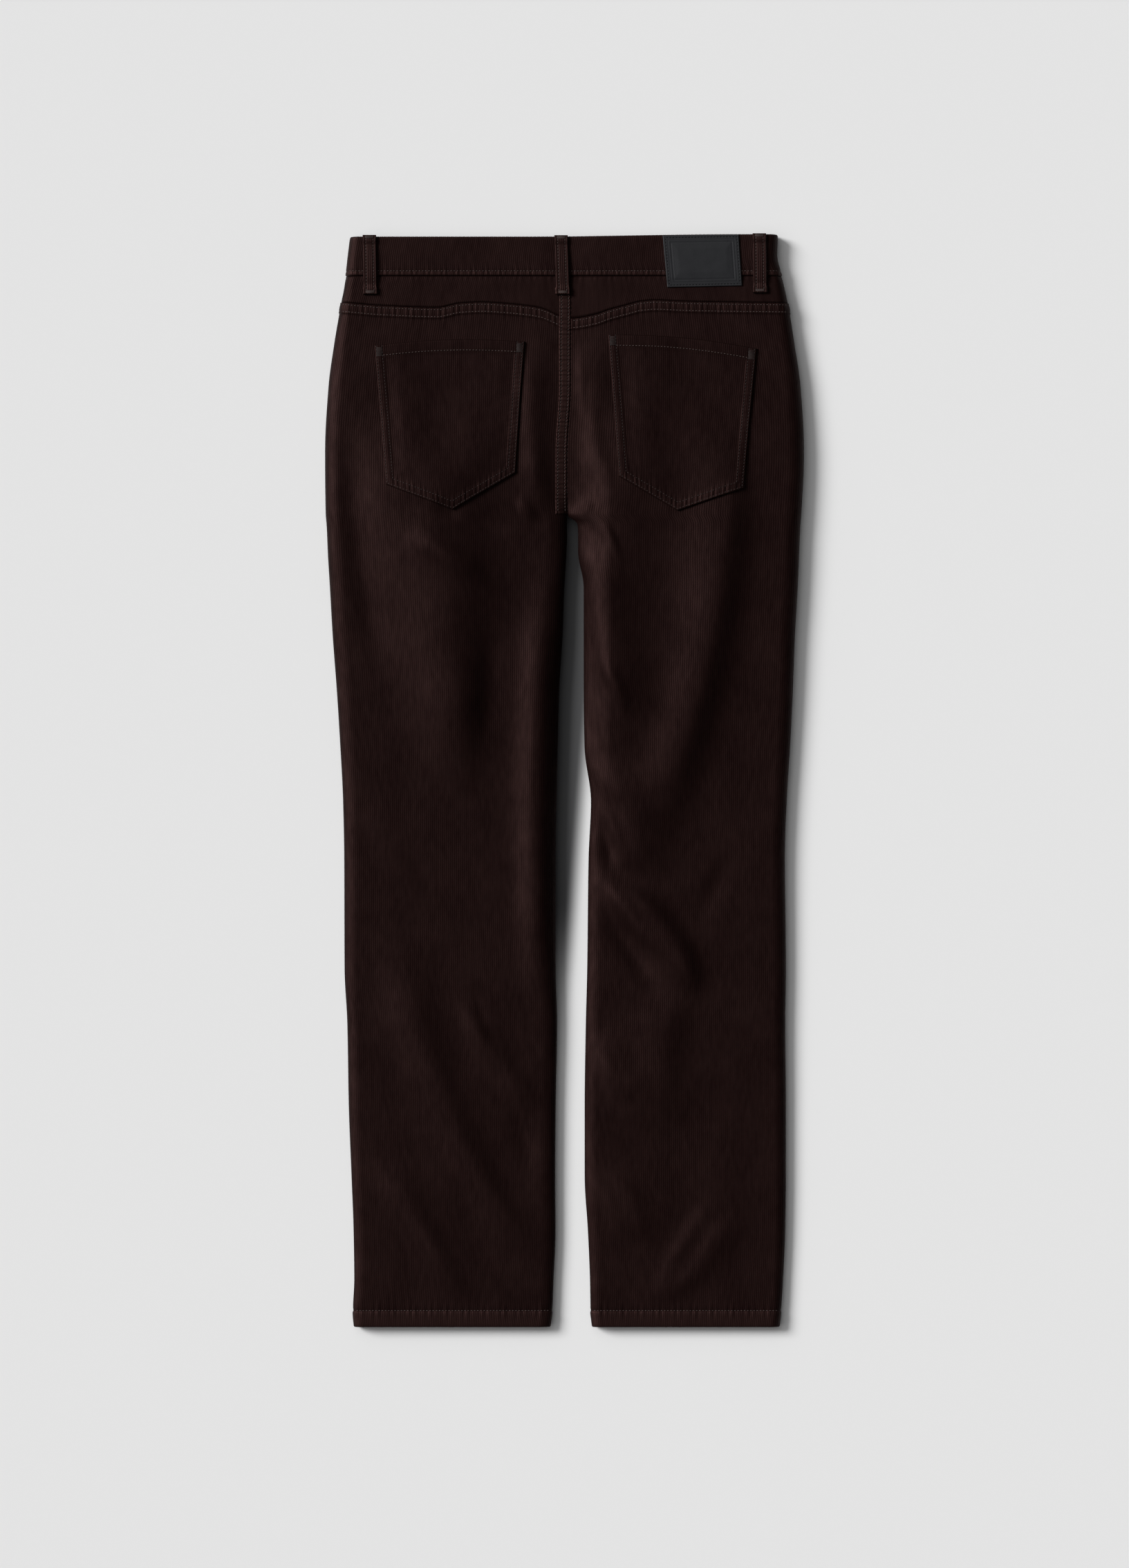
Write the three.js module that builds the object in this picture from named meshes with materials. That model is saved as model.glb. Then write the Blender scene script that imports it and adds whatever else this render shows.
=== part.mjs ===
// Five-pocket corduroy trousers, laid flat on a surface with their back up.
// x runs across the garment, y from the hems up to the waist, and z up from the surface.
// "down" is the distance below the top edge of the waistband. All sizes are millimetres.
import * as THREE from "three";

// Driving sizes
const LENGTH = 1104; // waistband edge to hem edge
const CLOTH = 1.5; // one layer of corduroy
const SEAM_GAP = 0.3; // between two pieces at a seam
const LAID_GAP = 0.45; // between a panel and what is sewn on it
const FACING_GAP = 0.8; // between a front pocket's facing and the panel before it
const WAISTBAND_DEPTH = 42; // top edge to the seam below it
const WAISTBAND_PROUD = 0.7; // how far its face stands over the panels
const WAISTBAND_CLOTH = 3.2;
const CROTCH = 283; // down to where the legs part
const CROTCH_LEAD = 26; // above the crotch, where the seat starts to turn into two legs
const CROTCH_TURN = 34; // length over which it turns
const VALLEY_WIDTH = 34; // each side of the centre back seam
const BAND_WIDTH = 11.5; // felled seams: the folded layers under two rows of stitches
const BAND_RISE = 1;
const BAND_STEP = 1; // width of the slope at a band's edge
const HEM_DEPTH = 16;
const HEM_RISE = 0.5; // outside, on the upper face
const HEM_FOLD = 1.3; // the turned-in layers, inside
const YOKE_LEVEL = 70; // mean depth of the yoke seam

// The garment's outline and thickness. left and right are the side edges, seam_left and seam_right the
// inner edges of the two halves, crown the height of the upper face, side the height of the side seams,
// and round the width over which an edge rounds off.
const SECTIONS = [
  { down: 0, left: -216, seam_left: 4.6, seam_right: 4.6, right: 215, crown: 17.5, side: 8, round: 9 },
  { down: 21, left: -218.4, seam_left: 5.3, seam_right: 5.3, right: 214.2, crown: 17.5, side: 8, round: 9 },
  { down: 42, left: -220.9, seam_left: 6, seam_right: 6, right: 219.5, crown: 17.5, side: 8, round: 9 },
  { down: 70, left: -225.8, seam_left: 6.4, seam_right: 6.4, right: 225.8, crown: 18, side: 8, round: 11 },
  { down: 111, left: -232.8, seam_left: 6, seam_right: 6, right: 232.4, crown: 19, side: 8.5, round: 13 },
  { down: 153, left: -238.4, seam_left: 6, seam_right: 6, right: 238.4, crown: 20, side: 9, round: 15 },
  { down: 220, left: -241.9, seam_left: 2.5, seam_right: 2.5, right: 241.9, crown: 21, side: 9.5, round: 16 },
  { down: 283, left: -241.2, seam_left: 2.4, seam_right: 2.4, right: 239.1, crown: 21, side: 10, round: 16 },
  { down: 291, left: -240.5, seam_left: 2.5, seam_right: 12.6, right: 238.4, crown: 21, side: 10, round: 16 },
  { down: 304, left: -239.8, seam_left: 2.7, seam_right: 13.7, right: 237.7, crown: 21, side: 10, round: 16 },
  { down: 321, left: -239.1, seam_left: 2.1, seam_right: 13.7, right: 237, crown: 21, side: 10, round: 16 },
  { down: 356, left: -237, seam_left: 0, seam_right: 19.3, right: 235.6, crown: 20.5, side: 9.8, round: 16 },
  { down: 405, left: -234.2, seam_left: -1.8, seam_right: 19.3, right: 232.8, crown: 20, side: 9.5, round: 16 },
  { down: 461, left: -230, seam_left: -5.3, seam_right: 19.3, right: 230.7, crown: 19, side: 9.2, round: 15 },
  { down: 517, left: -226.5, seam_left: -6.7, seam_right: 20, right: 227.9, crown: 18, side: 9, round: 15 },
  { down: 573, left: -223.7, seam_left: -8, seam_right: 26.6, right: 224.4, crown: 17.5, side: 8.5, round: 14 },
  { down: 629, left: -222.6, seam_left: -8.8, seam_right: 24.2, right: 222.6, crown: 17, side: 8, round: 14 },
  { down: 741, left: -222.3, seam_left: -8.8, seam_right: 22.8, right: 223.7, crown: 15.5, side: 7.3, round: 13 },
  { down: 797, left: -219.5, seam_left: -7.4, seam_right: 21.4, right: 223, crown: 15, side: 7, round: 12 },
  { down: 881, left: -218, seam_left: -8.8, seam_right: 20.2, right: 223.7, crown: 14, side: 6.8, round: 12 },
  { down: 951, left: -215.3, seam_left: -9.3, seam_right: 20.2, right: 223.7, crown: 13.5, side: 6.6, round: 11 },
  { down: 1007, left: -213.2, seam_left: -9, seam_right: 23.5, right: 223, crown: 13, side: 6.4, round: 11 },
  { down: 1056, left: -212.5, seam_left: -10.9, seam_right: 25.6, right: 220.9, crown: 12.5, side: 6.2, round: 10 },
  { down: 1088, left: -213.9, seam_left: -12.3, seam_right: 26.3, right: 218.8, crown: 12.5, side: 6.2, round: 9 },
  { down: 1104, left: -212.5, seam_left: -14.4, seam_right: 28, right: 217, crown: 12.5, side: 6.2, round: 9 },
];

// The yoke seam: how far down it lies across the back, from the left side seam to the right one.
const YOKE_SEAM = [
  { x: -230, down: 68 },
  { x: -185, down: 72 },
  { x: -128, down: 74 },
  { x: -105, down: 69.6 },
  { x: -84, down: 68.6 },
  { x: -51, down: 70.7 },
  { x: -26, down: 74 },
  { x: 6, down: 85 },
  { x: 32, down: 80.9 },
  { x: 45, down: 76.3 },
  { x: 63, down: 71.4 },
  { x: 78, down: 67.6 },
  { x: 92, down: 66.5 },
  { x: 126, down: 67.9 },
  { x: 230, down: 69.3 },
];

// Folds that run down the garment. A fold's crest passes through x at its top, middle and bottom; rise is
// its height, below zero for a trough; left and right are its flanks' widths at the top and the bottom.
const LONG_FOLDS = [
  { name: "left thigh crown", top: 153, bottom: 590, x: [-152, -120, -101], rise: 8, left: [88, 26], right: [92, 16] },
  { name: "left outer trough", top: 180, bottom: 470, x: [-222, -206, -178], rise: -2.5, left: [14, 14], right: [16, 20] },
  { name: "left inner thigh", top: 340, bottom: 780, x: [-18, -31, -20], rise: 6, left: [20, 18], right: [20, 16] },
  { name: "left shin", top: 690, bottom: 1060, x: [-172, -122, -15], rise: 4.5, left: [26, 16], right: [24, 14] },
  { name: "left shin low", top: 925, bottom: 1085, x: [-178, -143, -88], rise: 3, left: [22, 18], right: [20, 18] },
  { name: "left calf", top: 770, bottom: 890, x: [-102, -68, -30], rise: 3, left: [14, 14], right: [15, 15] },
  { name: "left seat rim", top: 105, bottom: 290, x: [-30, -33, -20], rise: 2.5, left: [12, 12], right: [14, 12] },
  { name: "right seat rim", top: 95, bottom: 262, x: [24, 35, 37], rise: 3.5, left: [13, 15], right: [15, 15] },
  { name: "right thigh crown", top: 180, bottom: 632, x: [167, 147, 80], rise: 8, left: [76, 36], right: [22, 24] },
  { name: "right inner thigh", top: 295, bottom: 500, x: [27, 37, 77], rise: 4.5, left: [13, 16], right: [30, 26] },
  { name: "right knee", top: 525, bottom: 655, x: [38, 67, 77], rise: 4, left: [15, 14], right: [34, 26] },
  { name: "right knee hollow", top: 548, bottom: 650, x: [31, 42, 48], rise: -2.5, left: [9, 9], right: [9, 9] },
  { name: "right knee fold", top: 640, bottom: 775, x: [39, 105, 129], rise: 6.5, left: [26, 20], right: [17, 14] },
  { name: "right shin", top: 755, bottom: 915, x: [112, 97, 93], rise: 3.5, left: [40, 34], right: [20, 22] },
  { name: "right calf", top: 800, bottom: 880, x: [36, 55, 70], rise: 2.2, left: [14, 13], right: [18, 18] },
  { name: "right calf low", top: 940, bottom: 1020, x: [44, 68, 80], rise: 2.4, left: [13, 13], right: [15, 15] },
  { name: "right hem", top: 985, bottom: 1085, x: [165, 140, 90], rise: 2, left: [18, 18], right: [18, 18] },
];

// Folds that run across. The crest passes through down at its left end, middle and right end.
const CROSS_FOLDS = [
  { name: "under left pocket", from: -195, to: -45, down: [262, 285, 300], rise: -2.2, above: 13, below: 13 },
  { name: "left thigh wrinkle", from: -165, to: -70, down: [305, 325, 350], rise: 2.4, above: 12, below: 14 },
  { name: "crotch ridge", from: 8, to: 62, down: [272, 290, 334], rise: 3, above: 10, below: 14 },
];
const FOLD_EASE = 0.3; // share of a fold's length over which it rises from the cloth at each end

// Back patch pockets: the five corners, each as x and down.
const POCKETS = {
  left: { topOuter: [-192, 112.5], topInner: [-40, 108.5], inner: [-49.5, 241], tip: [-112.5, 278], outer: [-180, 253] },
  right: { topOuter: [194, 115.5], topInner: [43.7, 101.5], inner: [54.8, 245], tip: [114, 279.5], outer: [180, 257] },
};
const POCKET_GAP = 0.8; // between a pocket and the panel
const POCKET_ARCH = 4; // the mouth's bow upwards at its middle
const POCKET_HEM = 12;
const POCKET_RIM = 9;
const POCKET_RIM_RISE = 0.5;

// Leather patch on the waistband: corners as x and down, clockwise from the top left.
const PATCH = [[99, 1.3], [175.8, 0.2], [179.3, 52], [103.8, 53.6]];
const PATCH_LEATHER = 1.3;
const PATCH_FRAME = 8; // inset of the pressed line from the edge
const PATCH_PRESS = 0.4;

// Belt loops: three over the back of the waistband and two under its front. Each back loop has the x of
// its top and bottom, and how far down its top lies.
const LOOP = { width: 13.6, length: 60, cloth: 2, fold: 1, foldLength: 8, arch: 1.1 };
const BACK_LOOPS = {
  left: { x: [-197, -196], top: 0.8 },
  centre: { x: [-3.5, -1.5], top: 1 },
  right: { x: [196.7, 197.5], top: -0.8 },
};
const FRONT_LOOP_X = 98;
const FRONT_LOOP_TOP = 3.6;
const WAIST_Y = (LENGTH + BACK_LOOPS.right.top) / 2; // y of the waistband's edge: the garment is centred

// The front, which lies on the surface
const FLY = { overlap: 10, gap: 0.45, bottom: 185, fade: 15, ramp: 10 };
const TAB = { over: 18, under: 14, ramp: 14 };
const BUTTON = { radius: 8.5, head: 2.5, x: 6, down: 21 };
const ZIP = { top: 47, bottom: 168, halfWidth: 12, tape: 1, chain: 3, chainRise: 1.2 };
const MOUTH = { width: 105, depth: 76, sweep: 0.85, overlap: 18, clear: 0.4 }; // the scooped front pocket openings
const UNDER_ROUND = 0.8; // an edge rounds off over less width below than above

const CORDUROY = new THREE.MeshStandardMaterial({ color: 0x1d1212, roughness: 0.95, metalness: 0 });
const LEATHER = new THREE.MeshStandardMaterial({ color: 0x16191d, roughness: 0.6, metalness: 0 });
const METAL = new THREE.MeshStandardMaterial({ color: 0x5a5550, roughness: 0.35, metalness: 1 });

const clamp = (t) => Math.min(Math.max(t, 0), 1);
const mix = (a, b, t) => a + (b - a) * t;
const smooth = (t) => clamp(t) ** 2 * (3 - 2 * clamp(t));
const quarterRound = (t) => Math.sqrt(1 - (1 - clamp(t)) ** 2);

// A smooth curve through points that never overshoots them (a monotone cubic).
function curveThrough(at, values) {
  const last = at.length - 1;
  const step = at.slice(1).map((a, i) => a - at[i]);
  const slope = step.map((h, i) => (values[i + 1] - values[i]) / h);
  const tangent = at.map((_, i) => {
    if (i === 0) return slope[0];
    if (i === last) return slope[last - 1];
    if (slope[i - 1] * slope[i] <= 0) return 0;
    const before = 2 * step[i] + step[i - 1];
    const after = step[i] + 2 * step[i - 1];
    return (before + after) / (before / slope[i - 1] + after / slope[i]);
  });
  return (a) => {
    let i = 0;
    while (i < last - 1 && a > at[i + 1]) i++;
    const t = clamp((a - at[i]) / step[i]);
    const rise = t * t * (3 - 2 * t);
    const leave = t * (1 - t) ** 2;
    const arrive = t * t * (t - 1);
    return mix(values[i], values[i + 1], rise) + step[i] * (tangent[i] * leave + tangent[i + 1] * arrive);
  };
}
const column = (name) => curveThrough(SECTIONS.map((row) => row.down), SECTIONS.map((row) => row[name]));
const section = Object.fromEntries(
  ["left", "seam_left", "seam_right", "right", "crown", "side", "round"].map((name) => [name, column(name)]),
);
const yokeSeam = curveThrough(YOKE_SEAM.map((row) => row.x), YOKE_SEAM.map((row) => row.down));

// A parabola through its values at 0, 1/2 and 1.
function through([start, middle, end], t) {
  return start + (4 * middle - 3 * start - end) * t + 2 * (start - 2 * middle + end) * t * t;
}

// Height that the folds add at a point of the upper face.
function foldHeight(x, down) {
  const ease = (t) => smooth(t / FOLD_EASE) * smooth((1 - t) / FOLD_EASE);
  let height = 0;
  for (const fold of LONG_FOLDS) {
    const t = (down - fold.top) / (fold.bottom - fold.top);
    if (t <= 0 || t >= 1) continue;
    const away = x - through(fold.x, t);
    const flank = away < 0 ? fold.left : fold.right;
    height += fold.rise * ease(t) * Math.exp(-((away / mix(flank[0], flank[1], t)) ** 2));
  }
  for (const fold of CROSS_FOLDS) {
    const t = (x - fold.from) / (fold.to - fold.from);
    if (t <= 0 || t >= 1) continue;
    const away = down - through(fold.down, t);
    height += fold.rise * ease(t) * Math.exp(-((away / (away < 0 ? fold.above : fold.below)) ** 2));
  }
  return height;
}

// 0 in the seat and 1 in the legs.
const legness = (down) => smooth((down - CROTCH + CROTCH_LEAD) / CROTCH_TURN);
const outerEdge = (side, down) => (side < 0 ? section.left(down) : section.right(down));
const innerEdge = (side, down) => (side < 0 ? section.seam_left(down) : section.seam_right(down));
const innerRound = (side, down) => section.round(down) * (side < 0 ? 1.35 : 1.1);

// Depth of the valley along the centre seams, which deepens towards the crotch.
const backValley = (down) => mix(1.2, 7, smooth((down - 150) / (CROTCH - 150)));
const frontValley = (down) => 4 * smooth((down - 225) / (CROTCH - 225));

// Height of the upper face: a crown that rounds off to the side seam and dips at the centre seam,
// where it turns into the round inner edge of a leg below the crotch.
function topHeight(x, down, side) {
  const crown = section.crown(down) + foldHeight(x, down);
  const seam = section.side(down) + SEAM_GAP / 2;
  const leg = legness(down);
  const outer = quarterRound(Math.abs(x - outerEdge(side, down)) / section.round(down));
  const inward = Math.abs(innerEdge(side, down) - x) / mix(VALLEY_WIDTH, innerRound(side, down), leg);
  const inner = mix(smooth(inward), quarterRound(inward), leg);
  return crown - (crown - seam) * (1 - outer) - mix(backValley(down), crown - seam, leg) * (1 - inner);
}

// How far the front is lifted off the surface, by the button and the front belt loops that it lies on.
function floorLift(x, down) {
  const button = Math.hypot(x - BUTTON.x, down - BUTTON.down);
  const overButton = (BUTTON.head + SEAM_GAP) * (1 - smooth((button - BUTTON.radius - 2) / 20));
  const loop = Math.abs(Math.abs(x) - FRONT_LOOP_X) - LOOP.width / 2;
  const loopHigh = LOOP.cloth + LOOP.fold + LAID_GAP;
  const overLoop = loopHigh * (1 - smooth((loop - 12) / 22)) * (1 - smooth((down - FRONT_LOOP_TOP - LOOP.length - 4) / 30));
  return Math.max(overButton, overLoop);
}

// Height of the lower face, flat on the surface but for its edges.
function bottomHeight(x, down, side) {
  const lift = floorLift(x, down);
  const seam = section.side(down) - SEAM_GAP / 2;
  const leg = legness(down);
  const outer = quarterRound(Math.abs(x - outerEdge(side, down)) / (section.round(down) * UNDER_ROUND));
  const inward = Math.abs(innerEdge(side, down) - x) / mix(VALLEY_WIDTH, section.round(down) * UNDER_ROUND, leg);
  const inner = mix(smooth(inward), quarterRound(inward), leg);
  return lift + (seam - lift) * (1 - outer) + mix(frontValley(down), seam - lift, leg) * (1 - inner);
}

const place = (x, down, z) => new THREE.Vector3(x, WAIST_Y - down, z);
const downOf = (point) => WAIST_Y - point.y;

// A closed wall over a grid of points. base gives the cloth's face, raise what its outside stands over
// that, and depth how far its inside lies under it, both along the face's normal; keep may hold a
// point inside a limit. outward is the direction that the middle of the face looks. The first and last
// rows are cut square to the garment's length.
function wall(rows, columns, base, { raise = () => 0, depth, keep = (p) => p, outward }) {
  const grid = [];
  for (let i = 0; i < rows; i++) grid.push(Array.from({ length: columns }, (_, j) => base(i, j)));
  const normalAt = (i, j) => {
    const across = grid[i][Math.min(j + 1, columns - 1)].clone().sub(grid[i][Math.max(j - 1, 0)]);
    const along = grid[Math.min(i + 1, rows - 1)][j].clone().sub(grid[Math.max(i - 1, 0)][j]);
    const normal = across.cross(along);
    if (i === 0 || i === rows - 1) normal.y = 0;
    return normal.normalize();
  };
  const flip = Math.sign(normalAt(rows >> 1, columns >> 1).dot(outward));
  const outside = [];
  const inside = [];
  for (let i = 0; i < rows; i++) {
    for (let j = 0; j < columns; j++) {
      const normal = normalAt(i, j).multiplyScalar(flip);
      outside.push(keep(grid[i][j].clone().addScaledVector(normal, raise(i, j)), i, j));
      inside.push(keep(grid[i][j].clone().addScaledVector(normal, -depth(i, j)), i, j));
    }
  }
  const at = (i, j, layer) => layer * rows * columns + i * columns + j;
  const faces = [];
  const quad = (a, b, c, d) => faces.push(a, b, c, a, c, d);
  for (let i = 0; i < rows - 1; i++) {
    for (let j = 0; j < columns - 1; j++) {
      quad(at(i, j, 0), at(i, j + 1, 0), at(i + 1, j + 1, 0), at(i + 1, j, 0));
      quad(at(i, j, 1), at(i + 1, j, 1), at(i + 1, j + 1, 1), at(i, j + 1, 1));
    }
  }
  for (let j = 0; j < columns - 1; j++) {
    quad(at(0, j, 0), at(0, j, 1), at(0, j + 1, 1), at(0, j + 1, 0));
    quad(at(rows - 1, j, 0), at(rows - 1, j + 1, 0), at(rows - 1, j + 1, 1), at(rows - 1, j, 1));
  }
  for (let i = 0; i < rows - 1; i++) {
    quad(at(i, 0, 0), at(i + 1, 0, 0), at(i + 1, 0, 1), at(i, 0, 1));
    quad(at(i, columns - 1, 0), at(i, columns - 1, 1), at(i + 1, columns - 1, 1), at(i + 1, columns - 1, 0));
  }
  return closedSolid([...outside, ...inside], faces);
}

// A geometry whose faces look out of the body that they close.
function closedSolid(points, faces) {
  let volume = 0;
  for (let k = 0; k < faces.length; k += 3) {
    const [a, b, c] = [points[faces[k]], points[faces[k + 1]], points[faces[k + 2]]];
    volume += a.dot(b.clone().cross(c)) / 6;
  }
  if (volume < 0) for (let k = 0; k < faces.length; k += 3) [faces[k], faces[k + 1]] = [faces[k + 1], faces[k]];
  return new THREE.BufferGeometry().setFromPoints(points).setIndex(faces);
}

// Share of the hem's turned-up layers at a row: full within the hem, and half at its rounded edge.
function hemShare(down) {
  if (down < LENGTH - HEM_DEPTH) return 0;
  return down < LENGTH ? 1 : 0.5;
}

const UP = new THREE.Vector3(0, 0, 1);
const DOWN = new THREE.Vector3(0, 0, -1);
const EDGE_ANGLES = [0, 24, 47, 68, 90].map(THREE.MathUtils.degToRad);
const edgeSteps = EDGE_ANGLES.map((angle) => 1 - Math.cos(angle));
const frontSteps = [0, 30, 60, 90].map((angle) => 1 - Math.cos(THREE.MathUtils.degToRad(angle)));
const BAND_COLUMNS = [0, BAND_STEP, BAND_WIDTH, BAND_WIDTH + BAND_STEP, 25];

// x of a column of a back panel, counted from the side seam to the centre seam or inseam: close
// together where the edges round off, and at the edges of the felled band beside the centre seam.
function backColumn(j, middles, down, side) {
  const outer = outerEdge(side, down);
  const inner = innerEdge(side, down) + (side * SEAM_GAP) / 2;
  const edges = edgeSteps.length;
  const leg = legness(down);
  const inwards = (k) => mix(BAND_COLUMNS[k], innerRound(side, down) * edgeSteps[k], leg);
  if (j < edges) return outer - side * section.round(down) * edgeSteps[j];
  if (j >= edges + middles) return inner + side * inwards(2 * edges + middles - 1 - j);
  const from = outer - side * section.round(down);
  const to = inner + side * inwards(edges - 1);
  return mix(from, to, (j - edges + 1) / (middles + 1));
}

// Keeps the upper pieces above the plane of the side seams, and the lower ones below it.
const aboveSeam = (p) => {
  p.z = Math.max(p.z, section.side(downOf(p)) + SEAM_GAP / 2);
  return p;
};
const belowSeam = (p) => {
  p.z = Math.min(p.z, section.side(downOf(p)) - SEAM_GAP / 2);
  return p;
};

// Rows of a back panel: the felled band at the yoke seam, the seat, the crotch, the leg and the hem.
const BACK_ROWS = [
  SEAM_GAP / 2, BAND_STEP, BAND_WIDTH - 2, BAND_WIDTH - 1,
].map((step) => YOKE_LEVEL + step).concat(
  Array.from({ length: 12 }, (_, k) => 93 + 14.2 * k),
  [262, 272, 279, CROTCH, 288, 295, 304, 317, 335],
  Array.from({ length: 24 }, (_, k) => 358 + 31 * k),
  [LENGTH - HEM_DEPTH - 1, LENGTH - HEM_DEPTH, LENGTH - 1, LENGTH],
);
const BACK_MIDDLES = 10;

// The back of one leg and half the seat, cut in one piece from the yoke seam to the hem.
function backPanel(side) {
  const columns = 2 * edgeSteps.length + BACK_MIDDLES;
  const downAt = (level, x) => level + (yokeSeam(x) - YOKE_LEVEL) * (1 - smooth((level - 82) / 50));
  const base = (i, j) => {
    const down = downAt(BACK_ROWS[i], backColumn(j, BACK_MIDDLES, BACK_ROWS[i], side));
    const x = backColumn(j, BACK_MIDDLES, down, side);
    return place(x, down, topHeight(x, down, side));
  };
  const raise = (i, j) => {
    const yokeBand = i < 3 ? BAND_RISE : 0;
    const centreBand = side < 0 && j >= columns - 3 ? BAND_RISE * (1 - legness(BACK_ROWS[i])) : 0;
    return Math.max(yokeBand, centreBand, HEM_RISE * hemShare(BACK_ROWS[i]));
  };
  const depth = (i) => CLOTH + HEM_FOLD * hemShare(BACK_ROWS[i]);
  return wall(BACK_ROWS.length, columns, base, { raise, depth, keep: aboveSeam, outward: UP });
}

// Half of the yoke, between the waistband and the yoke seam.
function yoke(side) {
  const columns = 2 * edgeSteps.length + BACK_MIDDLES;
  const levels = [0, 0.45, 1];
  const base = (i, j) => {
    const reference = backColumn(j, BACK_MIDDLES, YOKE_LEVEL, side);
    const bottom = yokeSeam(reference) - SEAM_GAP / 2;
    const down = mix(WAISTBAND_DEPTH + SEAM_GAP / 2, bottom, levels[i]);
    const x = backColumn(j, BACK_MIDDLES, down, side);
    return place(x, down, topHeight(x, down, side));
  };
  const raise = (i, j) => (side < 0 && j >= columns - 3 ? BAND_RISE : 0);
  return wall(levels.length, columns, base, { raise, depth: () => CLOTH, keep: aboveSeam, outward: UP });
}

// The scooped mouth of a front pocket is part of an ellipse: widest at the waistband, and meeting the
// side seam at its lower end. Widths are measured inwards from the side seam.
const scoopShare = (down) => clamp((down - WAISTBAND_DEPTH) / MOUTH.depth) * MOUTH.sweep;
const scoopRest = Math.sqrt(1 - MOUTH.sweep ** 2);
const scoopWidth = (down) => (MOUTH.width * (Math.sqrt(1 - scoopShare(down) ** 2) - scoopRest)) / (1 - scoopRest);
function insideScoop(inward, down) {
  const share = scoopRest + (1 - scoopRest) * clamp(inward / MOUTH.width);
  const below = WAISTBAND_DEPTH + (MOUTH.depth * Math.sqrt(1 - share ** 2)) / MOUTH.sweep - down;
  const beside = scoopWidth(down) - inward;
  return below <= 0 || beside <= 0 ? 0 : (below * beside) / Math.hypot(below, beside);
}

// Where a front panel ends at the centre: the left one laps over the right one at the fly.
const flap = (down) => (FLY.overlap + SEAM_GAP / 2) * smooth((FLY.bottom - down) / FLY.fade) - SEAM_GAP / 2;
function frontInner(side, down) {
  const edge = innerEdge(side, down);
  return side < 0 ? edge + flap(down) : edge + SEAM_GAP / 2;
}
// The right front panel rises over the fly's flap.
function flyStep(x, down) {
  const past = x - section.seam_right(down) - FLY.overlap - 1;
  const high = (CLOTH + FLY.gap) * (1 - smooth(past / FLY.ramp));
  return high * smooth((FLY.bottom + FLY.fade - down) / FLY.fade);
}

const MOUTH_ROWS = [0.002, 0.3, 0.55, 0.72, 0.85, 0.93, 0.97, 0.99, 1].map((t) => WAISTBAND_DEPTH + MOUTH.depth * t);
const FRONT_ROWS = MOUTH_ROWS.concat(
  [135, 152, 170, 178, 186, 200, 222, 245, 262, 273, 279, CROTCH, 288, 295, 306, 325],
  Array.from({ length: 12 }, (_, k) => 358 + 61 * k),
  [LENGTH - HEM_DEPTH - 1, LENGTH - HEM_DEPTH, LENGTH - 1, LENGTH],
);

// The front of one leg, from the waistband to the hem, with the pocket's mouth cut out of its corner.
function frontPanel(side) {
  const middles = 3;
  const edges = frontSteps.length;
  const columns = 2 * edges + middles;
  const columnX = (j, down) => {
    const outer = outerEdge(side, down) - side * scoopWidth(down);
    const inner = frontInner(side, down);
    const reach = section.round(down) * UNDER_ROUND;
    if (j < edges) return outer - side * reach * frontSteps[j];
    if (j >= edges + middles) return inner + side * reach * frontSteps[2 * edges + middles - 1 - j];
    return mix(outer - side * reach, inner + side * reach, (j - edges + 1) / (middles + 1));
  };
  const base = (i, j) => {
    const down = FRONT_ROWS[i];
    const x = columnX(j, down);
    return place(x, down, bottomHeight(x, down, side) + (side > 0 ? flyStep(x, down) : 0));
  };
  const depth = (i) => CLOTH + HEM_FOLD * hemShare(FRONT_ROWS[i]);
  return wall(FRONT_ROWS.length, columns, base, { depth, keep: belowSeam, outward: DOWN });
}

// The piece that shows in the mouth of a front pocket: level with the panel at the side seam, and
// behind the panel along the mouth's edge.
function pocketFacing(side) {
  const downs = MOUTH_ROWS.concat(WAISTBAND_DEPTH + MOUTH.depth + 12);
  const besideMouth = [[-14, 3], [-4, 6], [2, 9], [MOUTH.overlap, 20]]; // from its edge, and least
  const columns = frontSteps.length + besideMouth.length;
  const inwardAt = (down, j) => {
    const reach = section.round(down) * UNDER_ROUND;
    if (j < frontSteps.length) return reach * frontSteps[j];
    const [fromEdge, least] = besideMouth[j - frontSteps.length];
    return Math.max(scoopWidth(down) + fromEdge, reach + least);
  };
  const behind = (i, j) => (CLOTH + FACING_GAP) * (1 - smooth((insideScoop(inwardAt(downs[i], j), downs[i]) - 6) / 9));
  const base = (i, j) => {
    const x = outerEdge(side, downs[i]) - side * inwardAt(downs[i], j);
    return place(x, downs[i], bottomHeight(x, downs[i], side));
  };
  const belowCorner = (p) => {
    const clear = MOUTH.clear * smooth((downOf(p) - WAISTBAND_DEPTH - 0.75 * MOUTH.depth) / 12);
    p.z = Math.min(p.z, section.side(downOf(p)) - SEAM_GAP / 2 - clear);
    return p;
  };
  return wall(downs.length, columns, base, {
    raise: (i, j) => -behind(i, j),
    depth: (i, j) => behind(i, j) + CLOTH,
    keep: belowCorner,
    outward: DOWN,
  });
}

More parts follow.
